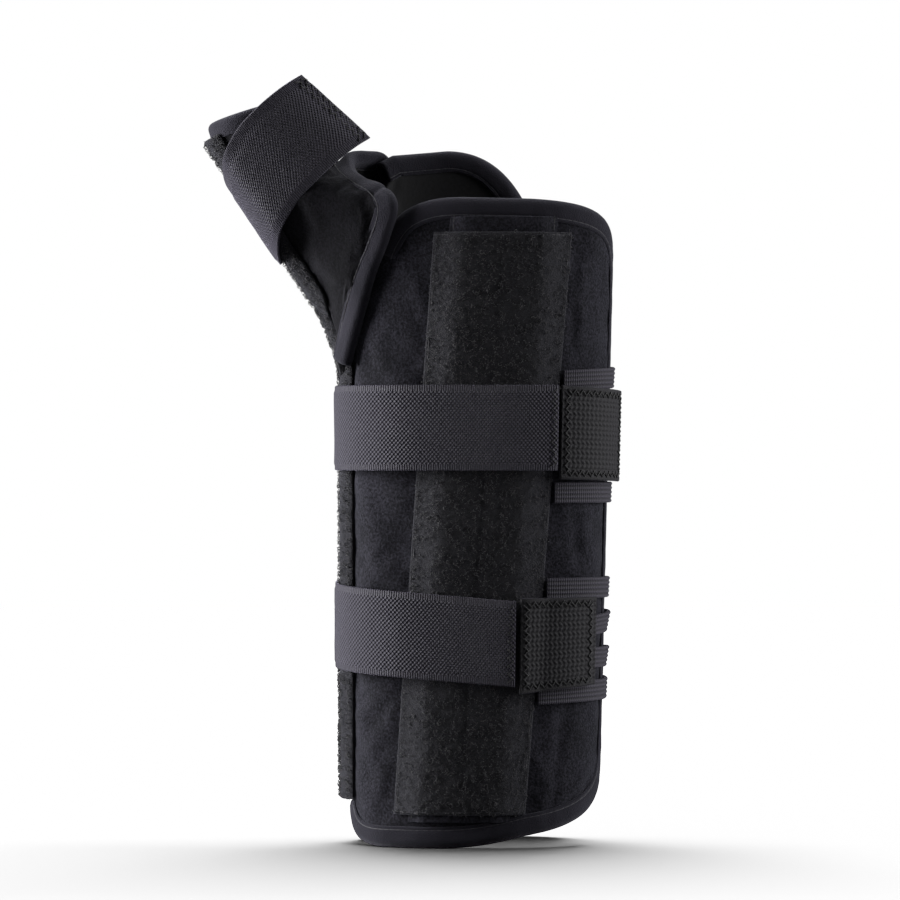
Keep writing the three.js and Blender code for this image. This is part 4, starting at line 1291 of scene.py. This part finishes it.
def add_thumb_strap():
    place = thumb_strap_ribbon()
    size = (place.length, place.width)
    strap = sheet_piece("thumb_strap_webbing", place, size, (0.9, 1.1), level(0), level(WEBBING),
                        STRAP, 0.45, strap_relief(71))
    fold_z = 0.2301
    fold = ((-0.0575, 0.0085, fold_z), (-0.0575, -0.0035, fold_z))
    show(strap, "thumb_strap", ["thumb_strap", "thumb_strap_fixed_end"], blend=fold)

    def hook_place(s, t, out):
        return place(size[0] - THUMB_HOOK_LENGTH + s - 0.6, t + HOOK_MARGIN, out - HOOK - 0.3)

    show_hooks("thumb_strap_hook_tape", hook_place, (THUMB_HOOK_LENGTH, size[1] - 2 * HOOK_MARGIN),
               "thumb_strap", "thumb_strap_hook")
    for part, body, places, thick in [
        ("end", "thumb_strap", (size[0] - 1.6, size[0] - 4.4), 0.32),
        ("sewn", "splint_body", (1.8, 5.0), 0.3),
    ]:
        rows = zigzag_rows(place, places, size[1])
        sew(f"thumb_strap_{part}_stitches", rows, body, DARK_THREAD, 1.45, 2.0, thick,
            math.radians(50))


# ------------------------------------------------------------------ elastic closure

BAND_END = BACK_SIDE + 15
PATCH_EDGE = PATCH_WIDTH / 2 + 0.8

# Each band: arc where it starts (None: at the loop patch's edge), start and end height, curl.
BANDS = {
    "upper_elastic_1": (None, 173, 176, 0.2),
    "upper_elastic_2": (FRONT_MIDDLE + 38, 162, 167, 0.0),
    "upper_elastic_3": (FRONT_MIDDLE + 38, 148, 143, 0.0),
    "upper_elastic_4": (None, 131.5, 131.5, 0.1),
    "lower_elastic_1": (None, 96, 96, 0.2),
    "lower_elastic_2": (FRONT_MIDDLE + 30, 80.5, 85.5, 0.9),
    "lower_elastic_3": (FRONT_MIDDLE + 30, 69.5, 70, 0.7),
    "lower_elastic_4": (None, 57, 59.5, 0.2),
}


def add_elastic_bands():
    for name, (start, low, high, curl) in BANDS.items():
        first = float(front_strip_arc(low)) + PATCH_EDGE if start is None else start
        length = BAND_END - first

        def place(s, t, out):
            u = s / length
            across = t - ELASTIC_WIDTH / 2
            lift = curl * np.sin(math.pi * np.clip(u * 1.6, 0, 1)) * across / ELASTIC_WIDTH * 1.8
            z = lerp(low, high, u) + across + curl * 0.8 * np.sin(math.pi * np.clip(u * 1.6, 0, 1))
            return on_sleeve(first + s, z, ELASTIC_LAYER + out + lift)

        def ribs(s, t):
            rib = 0.16 * np.cos(TAU * (t - ELASTIC_WIDTH / 2) / ELASTIC_RIB)
            return rib + 0.05 * np.sin(TAU * s / 0.9) * np.cos(TAU * t / ELASTIC_RIB)

        band = sheet_piece(f"{name}_band", place, (length, ELASTIC_WIDTH), (0.45, 0.26),
                           level(0), level(ELASTIC - 0.1), BAND, 0.35, ribs)
        show(band, "splint_body", [name])


def webbing_relief(width):
    """Coarse webbing: rows of slanting yarns whose slant turns from one row to the next."""
    def relief(s, t):
        row = (t - width / 2) / TAB_ROW
        slant = np.where(np.round(row) % 2 == 0, 1.0, -1.0)
        ridge = 0.5 + 0.5 * np.cos(TAU * row)
        yarn = 0.5 + 0.5 * np.cos(TAU * (s / 1.5 + slant * 0.55 * (row - np.round(row))))
        border = smooth(np.abs(t - width / 2), width / 2 - 1.6, width / 2 - 1.1)
        return -0.42 + (0.42 * (0.25 + 0.75 * ridge) * (0.2 + 0.8 * yarn)) * (1 - border) + 0.25 * border
    return relief


def add_anchor_strip():
    first, bottom = BACK_SIDE + 8, 46
    size = (140, 9)

    def place(s, t, out):
        return on_sleeve(first + t, bottom + s, ELASTIC_LAYER + ELASTIC + GAP + out)

    strip = sheet_piece("elastic_anchor_tape", place, size, (0.32, 0.32), level(0), level(1.1),
                        TAB, 0.4, webbing_relief(size[1]))
    show(strip, "splint_body", ["elastic_anchor_strip"])
    s = np.linspace(1, size[0] - 1, 160)
    rows = [line_on(place, s, t, 0.95) for t in (1.7, size[1] - 1.7)]
    sew("elastic_anchor_stitches", rows, "splint_body", DARK_THREAD, 2.2, 1.9, 0.32)


TAB_LENGTH = 26
TABS = {
    "upper": (UPPER_STRAP_END + 1.4, (136.5, 171.3), (135.5, 169.5)),
    "lower": (LOWER_STRAP_END + 1.4, (57.3, 92.6), (60.3, 92.9)),
}


def tab_out(arc, z):
    edge = front_strip_arc(z) + PATCH_WIDTH / 2
    return lerp(STRAP_OVER_PATCH, TAB_HOOK_LAYER, smooth(arc, edge - 8, edge + 2))


def fray(name, place, size, seed):
    """Loose yarn ends standing out of a cut edge."""
    draw = np.random.default_rng(seed)
    count = 150
    s = np.full(count, size[0] - 0.2)
    t = draw.uniform(0.4, size[1] - 0.4, count)
    points, normals = line_on(place, s, t, draw.uniform(0.3, TAB_WEBBING - 0.2, count))
    away = unit(place(s, t, 1.0) - place(s - 0.5, t, 1.0))
    lean = unit(away + 0.5 * normals + 0.4 * draw.normal(size=(count, 3)))
    grow = draw.uniform(0.6, 1.5, count)[:, None, None]
    return scatter(name, FRAY_END, points, normal_frames(normals, lean) * grow, DARK_THREAD)


FRAY_END = tube_template([(0, 0, -0.3), (0.02, 0, 0.2), (0.1, 0, 0.6), (0.25, 0, 0.95)],
                         [0.09, 0.09, 0.07, 0.04], 4)


def add_pull_tabs():
    for prefix, (start, inner, outer) in TABS.items():
        height = inner[1] - inner[0]

        def place(s, t, out):
            u, v = s / TAB_LENGTH, t / height
            arc = start + s
            z = lerp(lerp(inner[0], outer[0], u), lerp(inner[1], outer[1], u), v)
            return on_sleeve(arc, z, tab_out(arc, z) + out)

        body, size = f"{prefix}_tab", (TAB_LENGTH, height)
        base = HOOK + 0.3
        tab = sheet_piece(f"{prefix}_tab_webbing", place, size, (0.27, 0.27), level(base),
                          level(base + TAB_WEBBING), TAB, 0.5, webbing_relief(height))
        show(tab, body, [f"{prefix}_pull_tab"])

        def hook_place(s, t, out):
            return place(s + 1, t + 1, out)

        show_hooks(f"{prefix}_tab_hook_tape", hook_place, (TAB_LENGTH - 2, height - 2), body,
                   f"{prefix}_tab_hook")
        top = base + TAB_WEBBING - 0.1
        s, t = np.linspace(2.2, TAB_LENGTH - 2.2, 40), np.linspace(2.2, height - 2.2, 50)
        border = [line_on(place, s, edge, top) for edge in (2.4, height - 2.4)]
        border += [line_on(place, edge, t, top) for edge in (2.0, TAB_LENGTH - 2.4)]
        sew(f"{prefix}_tab_stitches", border, body, DARK_THREAD, 1.5, 1.9, 0.36, math.radians(48))
        show(fray(f"{prefix}_tab_fray", place, size, 81 if prefix == "upper" else 83), body)


# ------------------------------------------------------------------ assembly

add_panels()
add_thumb_halves()
add_thumb_tapes()
add_strip_set("front", front_strip_arc, PATCH_TOP, 233.8, 31)
add_strip_set("back", back_strip_arc, BACK_PATCH_TOP, 216, 41)
add_radial_strip()
dress_stays()
add_forearm_straps()
add_thumb_strap()
add_elastic_bands()
add_anchor_strip()
add_pull_tabs()

bpy.context.view_layer.update()
